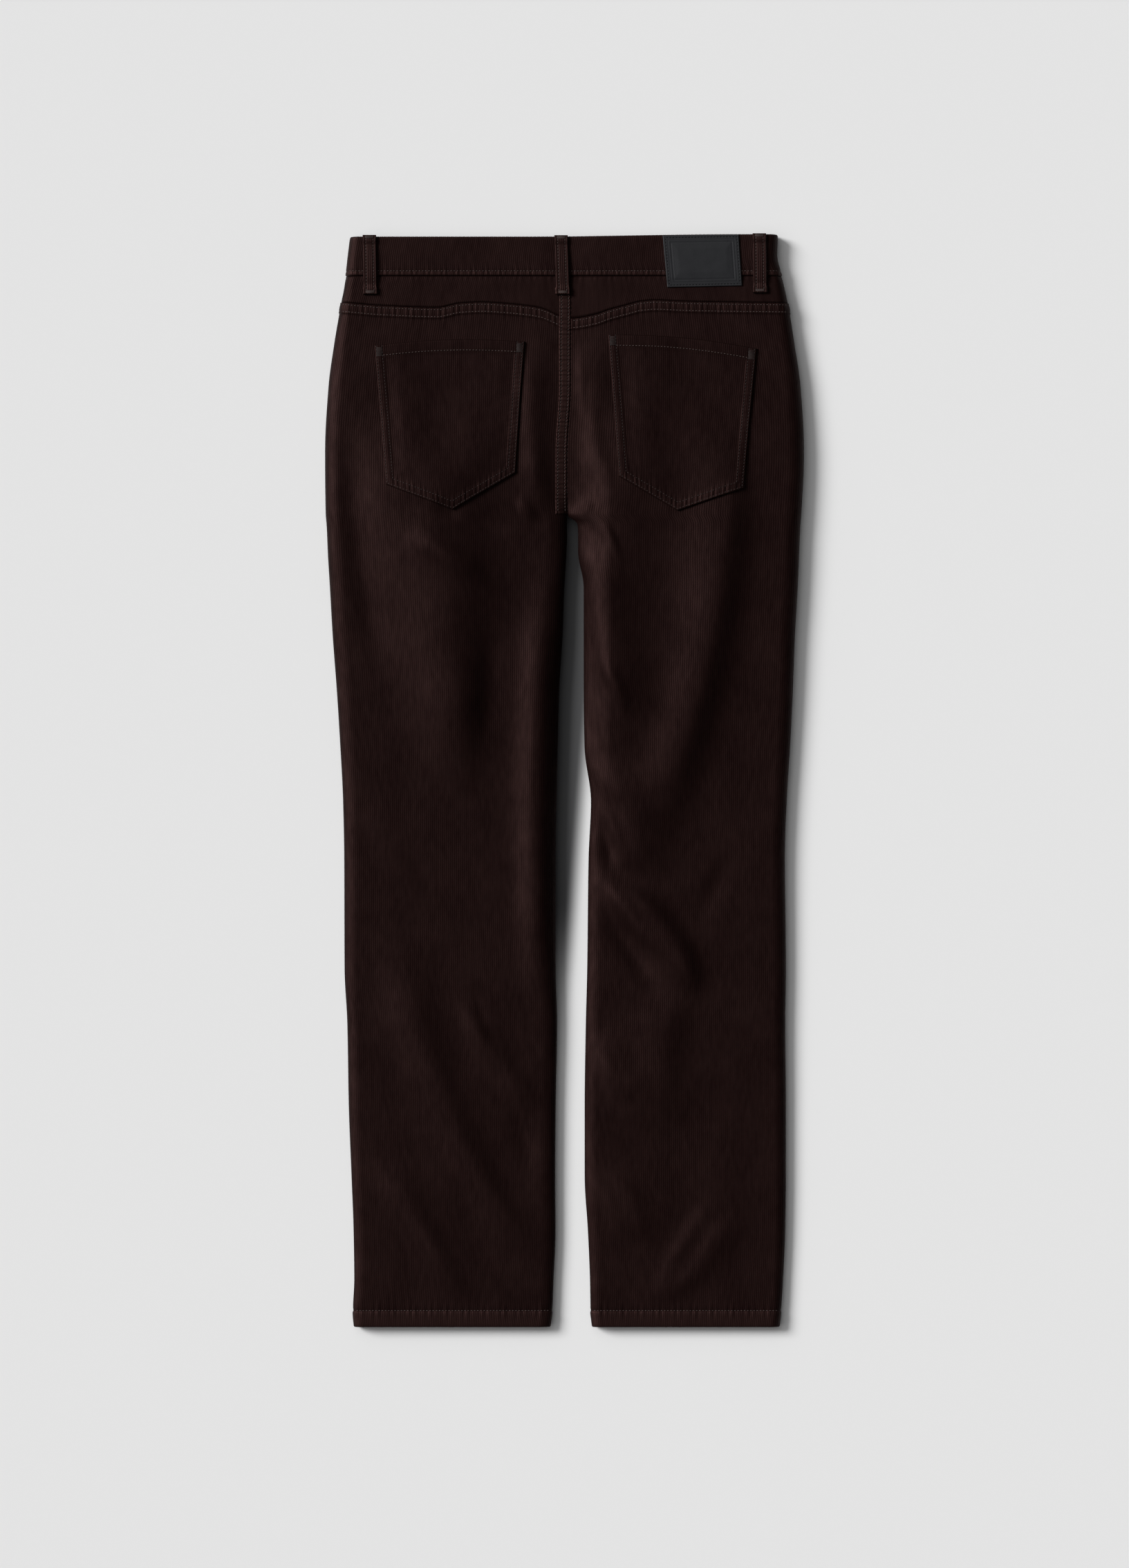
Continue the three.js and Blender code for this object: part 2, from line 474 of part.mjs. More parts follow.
// The waistband: one folded strip round the waist, from its overlapping end at the centre front,
// round the left side, across the back and round the right side to the end that lies under it.
function waistband() {
  const centre = section.seam_left(WAISTBAND_DEPTH / 2);
  const levels = [0, 1.2, 14, 27, 40.6, WAISTBAND_DEPTH - SEAM_GAP / 2];
  const besideLoop = [-18.8, -7.3, 7.3, 18.8].map((step) => FRONT_LOOP_X + step);
  const front = [9, 17, 28, 45, 62, ...besideLoop, 138, 160, 182];
  const lap = { [-1]: [TAB.over, 9, 0], [1]: [TAB.under, 6, -3] };
  const half = (side) => [
    ...lap[side].map((x) => ({ side, under: true, x: centre - side * x })),
    ...front.map((x) => ({ side, under: true, x: centre + side * x })),
    ...[...edgeSteps].reverse().map((step) => ({ side, under: true, step })),
    ...edgeSteps.slice(1).map((step) => ({ side, under: false, step })),
  ];
  const back = Array.from({ length: 15 }, (_, k) => ({ share: (k + 1) / 16 }));
  const stations = [...half(-1), ...back, ...half(1).reverse()];
  const topEdge = (x) => 2.4 * (1 - smooth((x + 40) / 220));
  const base = (i, j) => {
    const { side, under, step, share } = stations[j];
    const level = levels[i];
    const round = section.round(level) * (under ? UNDER_ROUND : 1);
    let x = stations[j].x ?? mix(section.left(level) + round, section.right(level) - round, share);
    if (step !== undefined) x = outerEdge(side, level) - side * round * step;
    const on = side ?? (x < centre ? -1 : 1);
    const down = level + topEdge(x) * (1 - level / WAISTBAND_DEPTH);
    if (!under) return place(x, down, topHeight(x, down, on));
    const over = (WAISTBAND_CLOTH + SEAM_GAP) * (1 - smooth((x - centre - TAB.over - 1) / TAB.ramp));
    const rise = WAISTBAND_PROUD * quarterRound(Math.abs(x - outerEdge(on, down)) / round);
    return place(x, down, bottomHeight(x, down, on) + rise + (side > 0 ? over : 0));
  };
  const rim = (i) => (i === 0 || i === levels.length - 1 ? 0.35 : 0);
  return wall(levels.length, stations.length, base, {
    raise: (i) => WAISTBAND_PROUD - rim(i),
    depth: (i) => WAISTBAND_CLOTH - WAISTBAND_PROUD - rim(i),
    outward: UP,
  });
}

// Height of the back's outer face, with the waistband's step and the felled band below it.
function dressedHeight(x, down) {
  const seam = section.seam_left(down);
  const intoBand = BAND_WIDTH / 2 + 5 - Math.abs(x - seam + BAND_WIDTH / 2);
  const band = BAND_RISE * smooth(intoBand / 2) * smooth((down - WAISTBAND_DEPTH + 8) / 8);
  const waist = WAISTBAND_PROUD * (1 - smooth((down - WAISTBAND_DEPTH - 1) / 8));
  return topHeight(x, down, x < seam ? -1 : 1) + Math.max(band, waist);
}

// A belt loop over the back of the waistband; its ends are folded under and so twice as thick.
const LOOP_ROWS = [0, 1.2, 7, 8.2, 18, 30, 42, 51.8, 53, 58.8, 60];
const loopFold = (length) => {
  const end = Math.min(length, LOOP.length - length);
  return LOOP.fold * (1 - smooth((end - LOOP.foldLength + 1) / 1.4)) * smooth((end + 0.9) / 1.6);
};
function backLoop({ x: [xTop, xBottom], top }) {
  const shares = [-0.5, -0.44, 0, 0.44, 0.5];
  const base = (i, j) => {
    const t = LOOP_ROWS[i] / LOOP.length;
    const x = mix(xTop, xBottom, t) + LOOP.width * shares[j];
    const down = top + LOOP_ROWS[i];
    const arch = LOOP.arch * Math.sin(Math.PI * t) ** 2;
    return place(x, down, dressedHeight(x, down) + LAID_GAP + arch);
  };
  const soft = (j) => (j === 0 || j === shares.length - 1 ? 0.4 : 0);
  return wall(LOOP_ROWS.length, shares.length, base, {
    raise: (i, j) => LOOP.cloth + loopFold(LOOP_ROWS[i]) - soft(j),
    depth: () => 0,
    outward: UP,
  });
}

// A belt loop under the front of the waistband, flat on the surface.
function frontLoop(side) {
  const shares = [-0.5, -0.44, 0.44, 0.5];
  const base = (i, j) => place(side * FRONT_LOOP_X + LOOP.width * shares[j], FRONT_LOOP_TOP + LOOP_ROWS[i], 0);
  return wall(LOOP_ROWS.length, shares.length, base, {
    depth: (i) => LOOP.cloth + loopFold(LOOP_ROWS[i]),
    outward: DOWN,
  });
}

// A back patch pocket: one layer with a hemmed mouth and turned-in edges, laid on the back panel.
function backPocket(side) {
  const shape = side < 0 ? POCKETS.left : POCKETS.right;
  const width = Math.abs(shape.topInner[0] - shape.topOuter[0]);
  const height = shape.tip[1] - shape.topInner[1];
  const tipAt = 0.47;
  const rim = POCKET_RIM / width;
  const across = [0, rim * 0.9, rim * 1.05, 0.15, 0.25, 0.36, tipAt, 0.58, 0.69, 0.79, 0.88, 1 - rim * 1.05, 1 - rim * 0.9, 1];
  const hem = POCKET_HEM / height;
  const foot = POCKET_RIM / height;
  const along = [0, hem * 0.92, hem * 1.02, 0.17, 0.28, 0.39, 0.5, 0.61, 0.72, 0.83, 1 - foot * 1.1, 1 - foot * 0.95, 1];
  const between = (from, to, t) => [mix(from[0], to[0], t), mix(from[1], to[1], t)];
  const base = (i, j) => {
    const u = across[j];
    const top = between(shape.topOuter, shape.topInner, u);
    top[1] -= POCKET_ARCH * Math.sin(Math.PI * u);
    const bottom = u < tipAt ? between(shape.outer, shape.tip, u / tipAt) : between(shape.tip, shape.inner, (u - tipAt) / (1 - tipAt));
    const [x, down] = between(top, bottom, along[i]);
    return place(x, down, topHeight(x, down, side));
  };
  const inRim = (i, j) => i < 2 || i > along.length - 3 || j < 2 || j > across.length - 3;
  return wall(along.length, across.length, base, {
    raise: (i, j) => POCKET_GAP + CLOTH + (inRim(i, j) ? POCKET_RIM_RISE : 0),
    depth: () => -POCKET_GAP,
    outward: UP,
  });
}

// The leather patch, with a line pressed round it inside its edge.
function leatherPatch() {
  const width = PATCH[1][0] - PATCH[0][0];
  const height = PATCH[3][1] - PATCH[0][1];
  const [u, v] = [PATCH_FRAME / width, PATCH_FRAME / height];
  const line = (inset) => [inset * 0.86, inset, inset * 1.14];
  const across = [0, ...line(u), 0.3, 0.5, 0.7, ...line(u).reverse().map((t) => 1 - t), 1];
  const along = [0, ...line(v), 0.4, 0.6, 0.76, ...line(v).reverse().map((t) => 1 - t), 1];
  const last = [along.length - 1, across.length - 1];
  const base = (i, j) => {
    const corner = (k) => new THREE.Vector2(...PATCH[k]);
    const top = corner(0).lerp(corner(1), across[j]);
    const spot = top.lerp(corner(3).lerp(corner(2), across[j]), along[i]);
    return place(spot.x, spot.y, dressedHeight(spot.x, spot.y));
  };
  const pressed = (i, j) => {
    const [a, b] = [Math.min(i, last[0] - i), Math.min(j, last[1] - j)];
    return (a === 2 && b >= 2) || (b === 2 && a >= 2);
  };
  return wall(along.length, across.length, base, {
    raise: (i, j) => LAID_GAP + PATCH_LEATHER - (pressed(i, j) ? PATCH_PRESS : 0),
    depth: () => -LAID_GAP,
    outward: UP,
  });
}

// The closed zip behind the fly: a tape with its chain along the middle.
function flyZip() {
  const level = 2 * (CLOTH + SEAM_GAP) + 0.8;
  const shares = [-1, -ZIP.chain / ZIP.halfWidth, -0.18, 0.18, ZIP.chain / ZIP.halfWidth, 1];
  const rows = [ZIP.top, 90, 130, ZIP.bottom];
  const base = (i, j) => {
    const x = section.seam_left(rows[i]) + ZIP.halfWidth * shares[j];
    return place(x, rows[i], level + floorLift(x, rows[i]));
  };
  return wall(rows.length, shares.length, base, {
    depth: (i, j) => ZIP.tape + (j === 2 || j === 3 ? ZIP.chainRise : 0),
    outward: DOWN,
  });
}

// The waist button, its domed head down on the surface and its rim up against the waistband.
function waistButton() {
  const { radius, head } = BUTTON;
  const profile = [[0, 0], [radius * 0.7, 0], [radius * 0.93, head * 0.22], [radius, head * 0.55], [radius * 0.94, head * 0.85], [radius * 0.4, head], [0, head]];
  return new THREE.LatheGeometry(profile.map(([r, h]) => new THREE.Vector2(r, h)), 20);
}

const trousers = new THREE.Group();
function add(name, geometry, material) {
  const mesh = new THREE.Mesh(geometry, material);
  mesh.name = name;
  trousers.add(mesh);
  return mesh;
}

for (const [name, side] of [["left", -1], ["right", 1]]) {
  add(`back_${name}`, backPanel(side), CORDUROY);
  add(`yoke_${name}`, yoke(side), CORDUROY);
  add(`back_pocket_${name}`, backPocket(side), CORDUROY);
  add(`front_${name}`, frontPanel(side), CORDUROY);
  add(`pocket_facing_${name}`, pocketFacing(side), CORDUROY);
  add(`loop_front_${name}`, frontLoop(side), CORDUROY);
}
add("waistband", waistband(), CORDUROY);
for (const [name, at] of Object.entries(BACK_LOOPS)) add(`loop_back_${name}`, backLoop(at), CORDUROY);
add("waist_patch", leatherPatch(), LEATHER);
add("fly_zip", flyZip(), METAL);
const button = add("waist_button", waistButton(), METAL);
button.rotation.x = Math.PI / 2;
button.position.copy(place(BUTTON.x, BUTTON.down, 0));

export default trousers;
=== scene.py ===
# %% [markdown]
# # Corduroy trousers, laid flat with their back up
#
# The imported model gives the size, the place and the plain form of every piece. This lesson makes each
# piece again as a thin, closed cloth shell on that same form: the wales of the corduroy are real ridges,
# the folds are soft crests and troughs placed one by one, and the seams get their thread.

# %% The frame
import math

import bpy
import numpy as np
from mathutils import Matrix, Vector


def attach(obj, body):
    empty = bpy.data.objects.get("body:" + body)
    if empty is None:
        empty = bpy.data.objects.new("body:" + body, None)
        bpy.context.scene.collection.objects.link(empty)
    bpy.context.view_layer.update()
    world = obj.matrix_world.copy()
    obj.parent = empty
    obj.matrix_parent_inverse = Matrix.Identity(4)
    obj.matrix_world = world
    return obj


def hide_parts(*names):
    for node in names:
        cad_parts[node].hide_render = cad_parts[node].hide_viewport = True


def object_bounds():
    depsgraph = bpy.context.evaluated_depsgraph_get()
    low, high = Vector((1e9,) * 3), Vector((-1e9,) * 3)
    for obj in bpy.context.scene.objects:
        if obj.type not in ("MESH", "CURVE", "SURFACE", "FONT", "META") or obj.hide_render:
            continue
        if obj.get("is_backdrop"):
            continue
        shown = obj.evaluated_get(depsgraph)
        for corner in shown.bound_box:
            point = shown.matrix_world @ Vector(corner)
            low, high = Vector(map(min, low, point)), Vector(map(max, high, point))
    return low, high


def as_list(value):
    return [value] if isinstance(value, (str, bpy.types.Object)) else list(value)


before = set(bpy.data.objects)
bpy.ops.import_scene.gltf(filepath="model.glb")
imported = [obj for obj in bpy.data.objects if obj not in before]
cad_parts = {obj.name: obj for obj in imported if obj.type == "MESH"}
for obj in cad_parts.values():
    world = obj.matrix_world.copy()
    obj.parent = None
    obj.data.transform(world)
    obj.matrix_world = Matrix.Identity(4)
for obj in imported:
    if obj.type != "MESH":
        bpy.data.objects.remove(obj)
cad_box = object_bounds()
print("nodes:", len(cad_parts))

# %% [markdown]
# ## Sizes
#
# All shapes are worked out in millimetres, as a pattern cutter would, and become metres when a mesh is
# made. "down" is the distance below the waistband's top edge. The model's box gives the two ends: the
# belt loops stand a little above the waistband, and the hems are its lowest edge.

# %% Driving sizes
MM = 0.001
LOOP_ABOVE = 0.8
WAIST_Y = cad_box[1][1] / MM - LOOP_ABOVE
LENGTH = WAIST_Y - cad_box[0][1] / MM
CLOTH = 1.5
SEAM_GAP = 0.3
LAID_GAP = 0.45
WAISTBAND_DEPTH = 42
WAISTBAND_PROUD = 0.7
WAISTBAND_CLOTH = 3.2
CROTCH = 283
CROTCH_LEAD = 26
CROTCH_TURN = 34
VALLEY_WIDTH = 34
BAND_WIDTH = 11.5
BAND_RISE = 1
HEM_DEPTH = 16
HEM_RISE = 0.5
HEM_FOLD = 1.3
YOKE_LEVEL = 70
WALE = 2.0  # from one rib of the corduroy to the next
WALE_HEIGHT = 0.22
print(f"length {LENGTH:.1f} mm, waistband edge at y {WAIST_Y:.1f} mm")

# %% [markdown]
# ## The outline
#
# Each row is a cut across the garment: the side edges, the inner edges of the two halves, how high the
# upper face crowns, the height of the side seams, and the width over which an edge rounds off. A smooth
# curve through each column gives the value at any distance down.

# %% Sections and seams
SECTION_COLUMNS = ("down", "left", "seam_left", "seam_right", "right", "crown", "side", "round")
SECTIONS = [
    (0, -216, 4.6, 4.6, 215, 17.5, 8, 9),
    (21, -218.4, 5.3, 5.3, 214.2, 17.5, 8, 9),
    (42, -220.9, 6, 6, 219.5, 17.5, 8, 9),
    (70, -225.8, 6.4, 6.4, 225.8, 18, 8, 11),
    (111, -232.8, 6, 6, 232.4, 19, 8.5, 13),
    (153, -238.4, 6, 6, 238.4, 20, 9, 15),
    (220, -241.9, 2.5, 2.5, 241.9, 21, 9.5, 16),
    (283, -241.2, 2.4, 2.4, 239.1, 21, 10, 16),
    (291, -240.5, 2.5, 12.6, 238.4, 21, 10, 16),
    (304, -239.8, 2.7, 13.7, 237.7, 21, 10, 16),
    (321, -239.1, 2.1, 13.7, 237, 21, 10, 16),
    (356, -237, 0, 19.3, 235.6, 20.5, 9.8, 16),
    (405, -234.2, -1.8, 19.3, 232.8, 20, 9.5, 16),
    (461, -230, -5.3, 19.3, 230.7, 19, 9.2, 15),
    (517, -226.5, -6.7, 20, 227.9, 18, 9, 15),
    (573, -223.7, -8, 26.6, 224.4, 17.5, 8.5, 14),
    (629, -222.6, -8.8, 24.2, 222.6, 17, 8, 14),
    (741, -222.3, -8.8, 22.8, 223.7, 15.5, 7.3, 13),
    (797, -219.5, -7.4, 21.4, 223, 15, 7, 12),
    (881, -218, -8.8, 20.2, 223.7, 14, 6.8, 12),
    (951, -215.3, -9.3, 20.2, 223.7, 13.5, 6.6, 11),
    (1007, -213.2, -9, 23.5, 223, 13, 6.4, 11),
    (1056, -212.5, -10.9, 25.6, 220.9, 12.5, 6.2, 10),
    (1088, -213.9, -12.3, 26.3, 218.8, 12.5, 6.2, 9),
    (1104, -212.5, -14.4, 28, 217, 12.5, 6.2, 9),
]
YOKE_SEAM = [
    (-230, 68), (-185, 72), (-128, 74), (-105, 69.6), (-84, 68.6), (-51, 70.7), (-26, 74), (6, 85),
    (32, 80.9), (45, 76.3), (63, 71.4), (78, 67.6), (92, 66.5), (126, 67.9), (230, 69.3),
]


def mix(a, b, t):
    """The value that lies the share t of the way from a to b."""
    return a + (b - a) * t


def smooth(t):
    """Rises from 0 to 1 with level ends: three times t squared, less twice t cubed."""
    t = np.clip(t, 0, 1)
    return t * t * (3 - 2 * t)


def quarter_round(t):
    """The height of a quarter circle: upright where t is 0, and level where it is 1."""
    return np.sqrt(1 - (1 - np.clip(t, 0, 1)) ** 2)


def curve_through(at, values):
    """A cubic on each span, whose slope at a point is the harmonic mean of the chords beside it, and
    level where they differ in sign, so that the curve never overshoots its points."""
    at, values = np.array(at, float), np.array(values, float)
    step = np.diff(at)
    slope = np.diff(values) / step
    before, after = 2 * step[1:] + step[:-1], step[1:] + 2 * step[:-1]
    turns = slope[:-1] * slope[1:] <= 0
    safe = [np.where(turns, 1, s) for s in (slope[:-1], slope[1:])]
    middle = np.where(turns, 0, (before + after) / (before / safe[0] + after / safe[1]))
    tangent = np.concatenate([slope[:1], middle, slope[-1:]])

    def curve(a):
        i = np.clip(np.searchsorted(at, a, side="right") - 1, 0, len(step) - 1)
        t = np.clip((a - at[i]) / step[i], 0, 1)
        bend = tangent[i] * t * (1 - t) ** 2 + tangent[i + 1] * t * t * (t - 1)
        return mix(values[i], values[i + 1], smooth(t)) + step[i] * bend

    return curve


downs, *others = zip(*SECTIONS)
section = {name: curve_through(downs, column) for name, column in zip(SECTION_COLUMNS[1:], others)}
yoke_seam = curve_through(*zip(*YOKE_SEAM))
print("sections:", len(SECTIONS), "and a yoke seam of", len(YOKE_SEAM), "points")

# %% [markdown]
# ## The folds
#
# The light comes from the left, so the left flank of a fold is bright and its right flank is dark. That
# gives each crest's place. Three kinds of row follow: folds that run down a leg, folds that run across,
# and short creases from one point to another. Each rises from the cloth and sinks back with soft ends.

# %% Fold tables
LONG_FOLDS = [  # top, bottom, x at the top, middle and bottom, rise, left and right flanks (top, bottom)
    (153, 590, (-152, -120, -101), 10, (84, 26), (70, 15)),
    (180, 470, (-222, -206, -178), -2.5, (14, 14), (16, 20)),
    (325, 800, (-20, -31, -24), 5.0, (16, 14), (18, 18)),
    (690, 1060, (-172, -122, -15), 4.5, (26, 16), (24, 14)),
    (925, 1085, (-178, -143, -88), 3, (22, 18), (20, 18)),
    (770, 890, (-102, -68, -30), 3, (14, 14), (15, 15)),
    (105, 290, (-30, -33, -20), 2.5, (12, 12), (14, 12)),
    (95, 262, (24, 30, 35), 2.0, (10, 11), (18, 18)),
    (180, 632, (167, 147, 80), 8, (42, 28), (20, 22)),
    (130, 620, (44, 48, 44), 6.5, (18, 16), (66, 56)),
    (295, 500, (27, 37, 77), 4.5, (13, 16), (30, 26)),
    (525, 655, (38, 67, 77), 4, (15, 14), (34, 26)),
    (548, 650, (31, 42, 48), -2.5, (9, 9), (9, 9)),
    (640, 775, (39, 105, 129), 6.5, (26, 20), (17, 14)),
    (755, 915, (112, 97, 93), 3.5, (40, 34), (20, 22)),
    (800, 880, (36, 55, 70), 2.2, (14, 13), (18, 18)),
    (940, 1020, (44, 68, 80), 2.4, (13, 13), (15, 15)),
    (985, 1085, (165, 140, 90), 2, (18, 18), (18, 18)),
]
CROSS_FOLDS = [  # from, to, down at the left, middle and right, rise, width above and below
    (-195, -45, (262, 285, 300), -2.2, 13, 13),
    (-165, -70, (305, 325, 350), 2.4, 12, 14),
    (8, 62, (272, 290, 334), 1.6, 9, 14),
]
CREASES = [  # x and down at one end, x and down at the other, rise, width
    (-95, 760, -60, 840, -1.2, 7),
    (-158, 282, -88, 350, 1.8, 12),
    (-135, 270, -100, 285, -1.6, 9),
    (-78, 365, -90, 545, -1.8, 13),
    (-124, 1010, -48, 1085, 1.6, 8),
    (-104, 778, -70, 858, 1.3, 11),
    (-190, 945, -95, 1085, 1.4, 12),
    (30, 418, 66, 494, 2.2, 7),
    (22, 470, 50, 560, -1.6, 8),
    (24, 548, 68, 645, 3.8, 8),
    (30, 640, 118, 742, 4.2, 9),
    (30, 676, 98, 775, -3.0, 10),
    (30, 812, 58, 872, 2.0, 8),
    (24, 942, 72, 1022, 2.0, 9),
    (163, 966, 88, 1080, 1.6, 9),
    (170, 620, 130, 700, -1.2, 12),
    (-48, 262, -26, 292, 1.8, 7),
    (38, 150, 56, 262, -1.6, 9),
    (17, 100, 22, 196, 1.2, 6),
    (-210, 560, -150, 650, 1.0, 14),
    (-60, 880, -30, 960, -1.2, 10),
]
FOLD_EASE = 0.3


def through(values, t):
    """The parabola that has the three values where t is 0, a half and 1."""
    start, middle, end = values
    return start + (4 * middle - 3 * start - end) * t + 2 * (start - 2 * middle + end) * t * t


def ease(t, share=FOLD_EASE):
    """1 along the middle of a fold, and soft to 0 over that share of its length at each end."""
    return smooth(t / share) * smooth((1 - t) / share)


def fold_height(x, down):
    """The sum of the folds: each is its rise times a bell curve of the distance from its crest."""
    height = np.zeros(np.broadcast(x, down).shape)
    for top, bottom, crest, rise, left, right in LONG_FOLDS:
        t = np.clip((down - top) / (bottom - top), 0, 1)
        away = x - through(crest, t)
        width = np.where(away < 0, mix(left[0], left[1], t), mix(right[0], right[1], t))
        height += rise * ease(t) * np.exp(-((away / width) ** 2))
    for first, last, crest, rise, above, below in CROSS_FOLDS:
        t = np.clip((x - first) / (last - first), 0, 1)
        away = down - through(crest, t)
        height += rise * ease(t) * np.exp(-((away / np.where(away < 0, above, below)) ** 2))
    for x0, down0, x1, down1, rise, width in CREASES:
        run = np.array([x1 - x0, down1 - down0])
        length = np.hypot(*run)
        t = ((x - x0) * run[0] + (down - down0) * run[1]) / length**2
        away = ((x - x0) * run[1] - (down - down0) * run[0]) / length
        bow = 0.05 * length * math.sin(x0 + down1) * (4 * t * (1 - t))
        height += rise * ease(t, 0.45) * np.exp(-(((away - bow) / width) ** 2))
    return FOLD_GAIN * height


FOLD_GAIN = 1.25  # how much bolder the cloth's folds are than the plain model's
print("folds:", len(LONG_FOLDS), "long,", len(CROSS_FOLDS), "across,", len(CREASES), "creases")

# %% [markdown]
# ## The two faces of the flat garment
#
# The upper face crowns between the side seam and the centre seam. In the seat it dips into a soft valley
# along the centre; below the crotch the same edge turns down round the inside of each leg. The lower
# face lies on the surface and turns up at its edges to meet the upper one.

# %% Upper and lower face


def legness(down):
    """0 in the seat and 1 in the legs."""
    return smooth((down - CROTCH + CROTCH_LEAD) / CROTCH_TURN)


def outer_edge(side, down):
    """x of the side seam of the left (-1) or right (1) half."""
    return section["left"](down) if side < 0 else section["right"](down)


def inner_edge(side, down):
    """x of the centre seam, and of the inseam below the crotch."""
    return section["seam_left"](down) if side < 0 else section["seam_right"](down)


def top_height(x, down, side):
    """The crown and its folds, less what rounds off at the side, and less the valley at the centre."""
    crown = section["crown"](down) + fold_height(x, down)
    seam = section["side"](down) + SEAM_GAP / 2
    leg = legness(down)
    outer = quarter_round(np.abs(x - outer_edge(side, down)) / section["round"](down))
    rounding = section["round"](down) * (1.35 if side < 0 else 1.1)
    inward = np.abs(inner_edge(side, down) - x) / mix(VALLEY_WIDTH, rounding, leg)
    inner = mix(smooth(inward), quarter_round(inward), leg)
    valley = mix(1, 4, smooth((down - 150) / (CROTCH - 150)))
    return crown - (crown - seam) * (1 - outer) - mix(valley, crown - seam, leg) * (1 - inner)


BUTTON_X, BUTTON_DOWN, BUTTON_RADIUS, BUTTON_HEAD = 6, 21, 8.5, 2.5
FRONT_LOOP_X, FRONT_LOOP_TOP = 98, 3.6
LOOP_WIDTH, LOOP_LENGTH, LOOP_CLOTH, LOOP_FOLD, LOOP_ARCH = 13.6, 60, 2, 1, 1.1
UNDER_ROUND = 0.8


def floor_lift(x, down):
    """What the waist button and the front belt loops, which lie under it, lift the front by."""
    button = np.hypot(x - BUTTON_X, down - BUTTON_DOWN)
    over_button = (BUTTON_HEAD + SEAM_GAP) * (1 - smooth((button - BUTTON_RADIUS - 2) / 20))
    loop = np.abs(np.abs(x) - FRONT_LOOP_X) - LOOP_WIDTH / 2
    near = (1 - smooth((loop - 12) / 22)) * (1 - smooth((down - FRONT_LOOP_TOP - LOOP_LENGTH - 4) / 30))
    return np.maximum(over_button, (LOOP_CLOTH + LOOP_FOLD + LAID_GAP) * near)


def bottom_height(x, down, side):
    """Flat on the surface, turned up at the side by a quarter ellipse, and along the centre seam."""
    lift = floor_lift(x, down)
    seam = section["side"](down) - SEAM_GAP / 2
    leg = legness(down)
    rounding = section["round"](down) * UNDER_ROUND
    outer = quarter_round(np.abs(x - outer_edge(side, down)) / rounding)
    inward = np.abs(inner_edge(side, down) - x) / mix(VALLEY_WIDTH, rounding, leg)
    inner = mix(smooth(inward), quarter_round(inward), leg)
    valley = 4 * smooth((down - 225) / (CROTCH - 225))
    return lift + (seam - lift) * (1 - outer) + mix(valley, seam - lift, leg) * (1 - inner)


print(f"thigh crown: {float(top_height(-120.0, 400.0, -1)):.1f} mm above the surface")

# %% [markdown]
# ## Making a mesh from arrays
#
# A cloth shell has a fine outer grid, with three columns to each wale, and a plain inner grid that takes
# only every twelfth column. Triangles fan from the one to the other along the cut edges, so the shell
# is closed and still light.

# %% Mesh helpers
FAN = 12  # outer columns to one inner column
WALE_COLUMNS = 3


def make_mesh(name, points, quads, triangles=(), uv=None, tone=None):
    """Puts points (mm) and faces into a mesh by whole arrays. uv is each point's place on the cloth, and
    tone is how much lighter its colour is painted there: the grooves between the ribs are left darker as
    painted shade, and rubbed raised edges are lighter, partly as a painted highlight."""
    quads = np.asarray(quads, np.int32).reshape(-1, 4)
    triangles = np.asarray(triangles, np.int32).reshape(-1, 3)
    mesh = bpy.data.meshes.new(name)
    mesh.vertices.add(len(points))
    mesh.vertices.foreach_set("co", (np.asarray(points) * MM).astype(np.float32).ravel())
    corners = np.concatenate([quads.ravel(), triangles.ravel()])
    sizes = np.concatenate([np.full(len(quads), 4), np.full(len(triangles), 3)]).astype(np.int32)
    mesh.loops.add(len(corners))
    mesh.loops.foreach_set("vertex_index", corners)
    mesh.polygons.add(len(sizes))
    mesh.polygons.foreach_set("loop_start", (np.cumsum(sizes) - sizes).astype(np.int32))
    mesh.polygons.foreach_set("loop_total", sizes)
    mesh.polygons.foreach_set("use_smooth", np.ones(len(sizes), bool))
    if uv is not None:
        layer = mesh.uv_layers.new(name="Cloth")
        layer.data.foreach_set("uv", (np.asarray(uv) * MM).astype(np.float32)[corners].ravel())
    if tone is not None:
        layer = mesh.attributes.new("tone", "FLOAT", "POINT")
        layer.data.foreach_set("value", np.asarray(tone, np.float32).ravel())
    mesh.update(calc_edges=True)
    mesh.validate()
    piece = bpy.data.objects.new(name, mesh)
    bpy.context.collection.objects.link(piece)
    return piece


def place(x, down, z):
    """Points from distances across, down and up."""
    return np.stack(np.broadcast_arrays(x, WAIST_Y - down, z), axis=-1).astype(float)


def grid_normals(grid):
    """Unit normals of a grid of points: the cross product of the steps along its columns and rows."""
    normal = np.cross(np.gradient(grid, axis=1), np.gradient(grid, axis=0))
    return normal / np.maximum(np.linalg.norm(normal, axis=-1, keepdims=True), 1e-9)


def even_columns(grid, count):
    """Moves each row's points along the row so that they are evenly spaced by its length."""
    steps = np.linalg.norm(np.diff(grid, axis=1), axis=-1)
    reach = np.concatenate([np.zeros((len(grid), 1)), np.cumsum(steps, axis=1)], axis=1)
    rows = []
    for row, run in zip(grid, reach):
        want = np.linspace(0, run[-1], count)
        rows.append(np.stack([np.interp(want, run, row[:, k]) for k in range(3)], axis=-1))
    return np.array(rows)


def wale_columns(grid):
    """How many columns carry the wales of a grid: whole wales of about WALE, in whole fans."""
    middle = grid[len(grid) // 2]
    width = np.linalg.norm(np.diff(middle, axis=0), axis=-1).sum()
    fans = max(round(width / WALE * WALE_COLUMNS / FAN), 1)
    return fans * FAN + 1


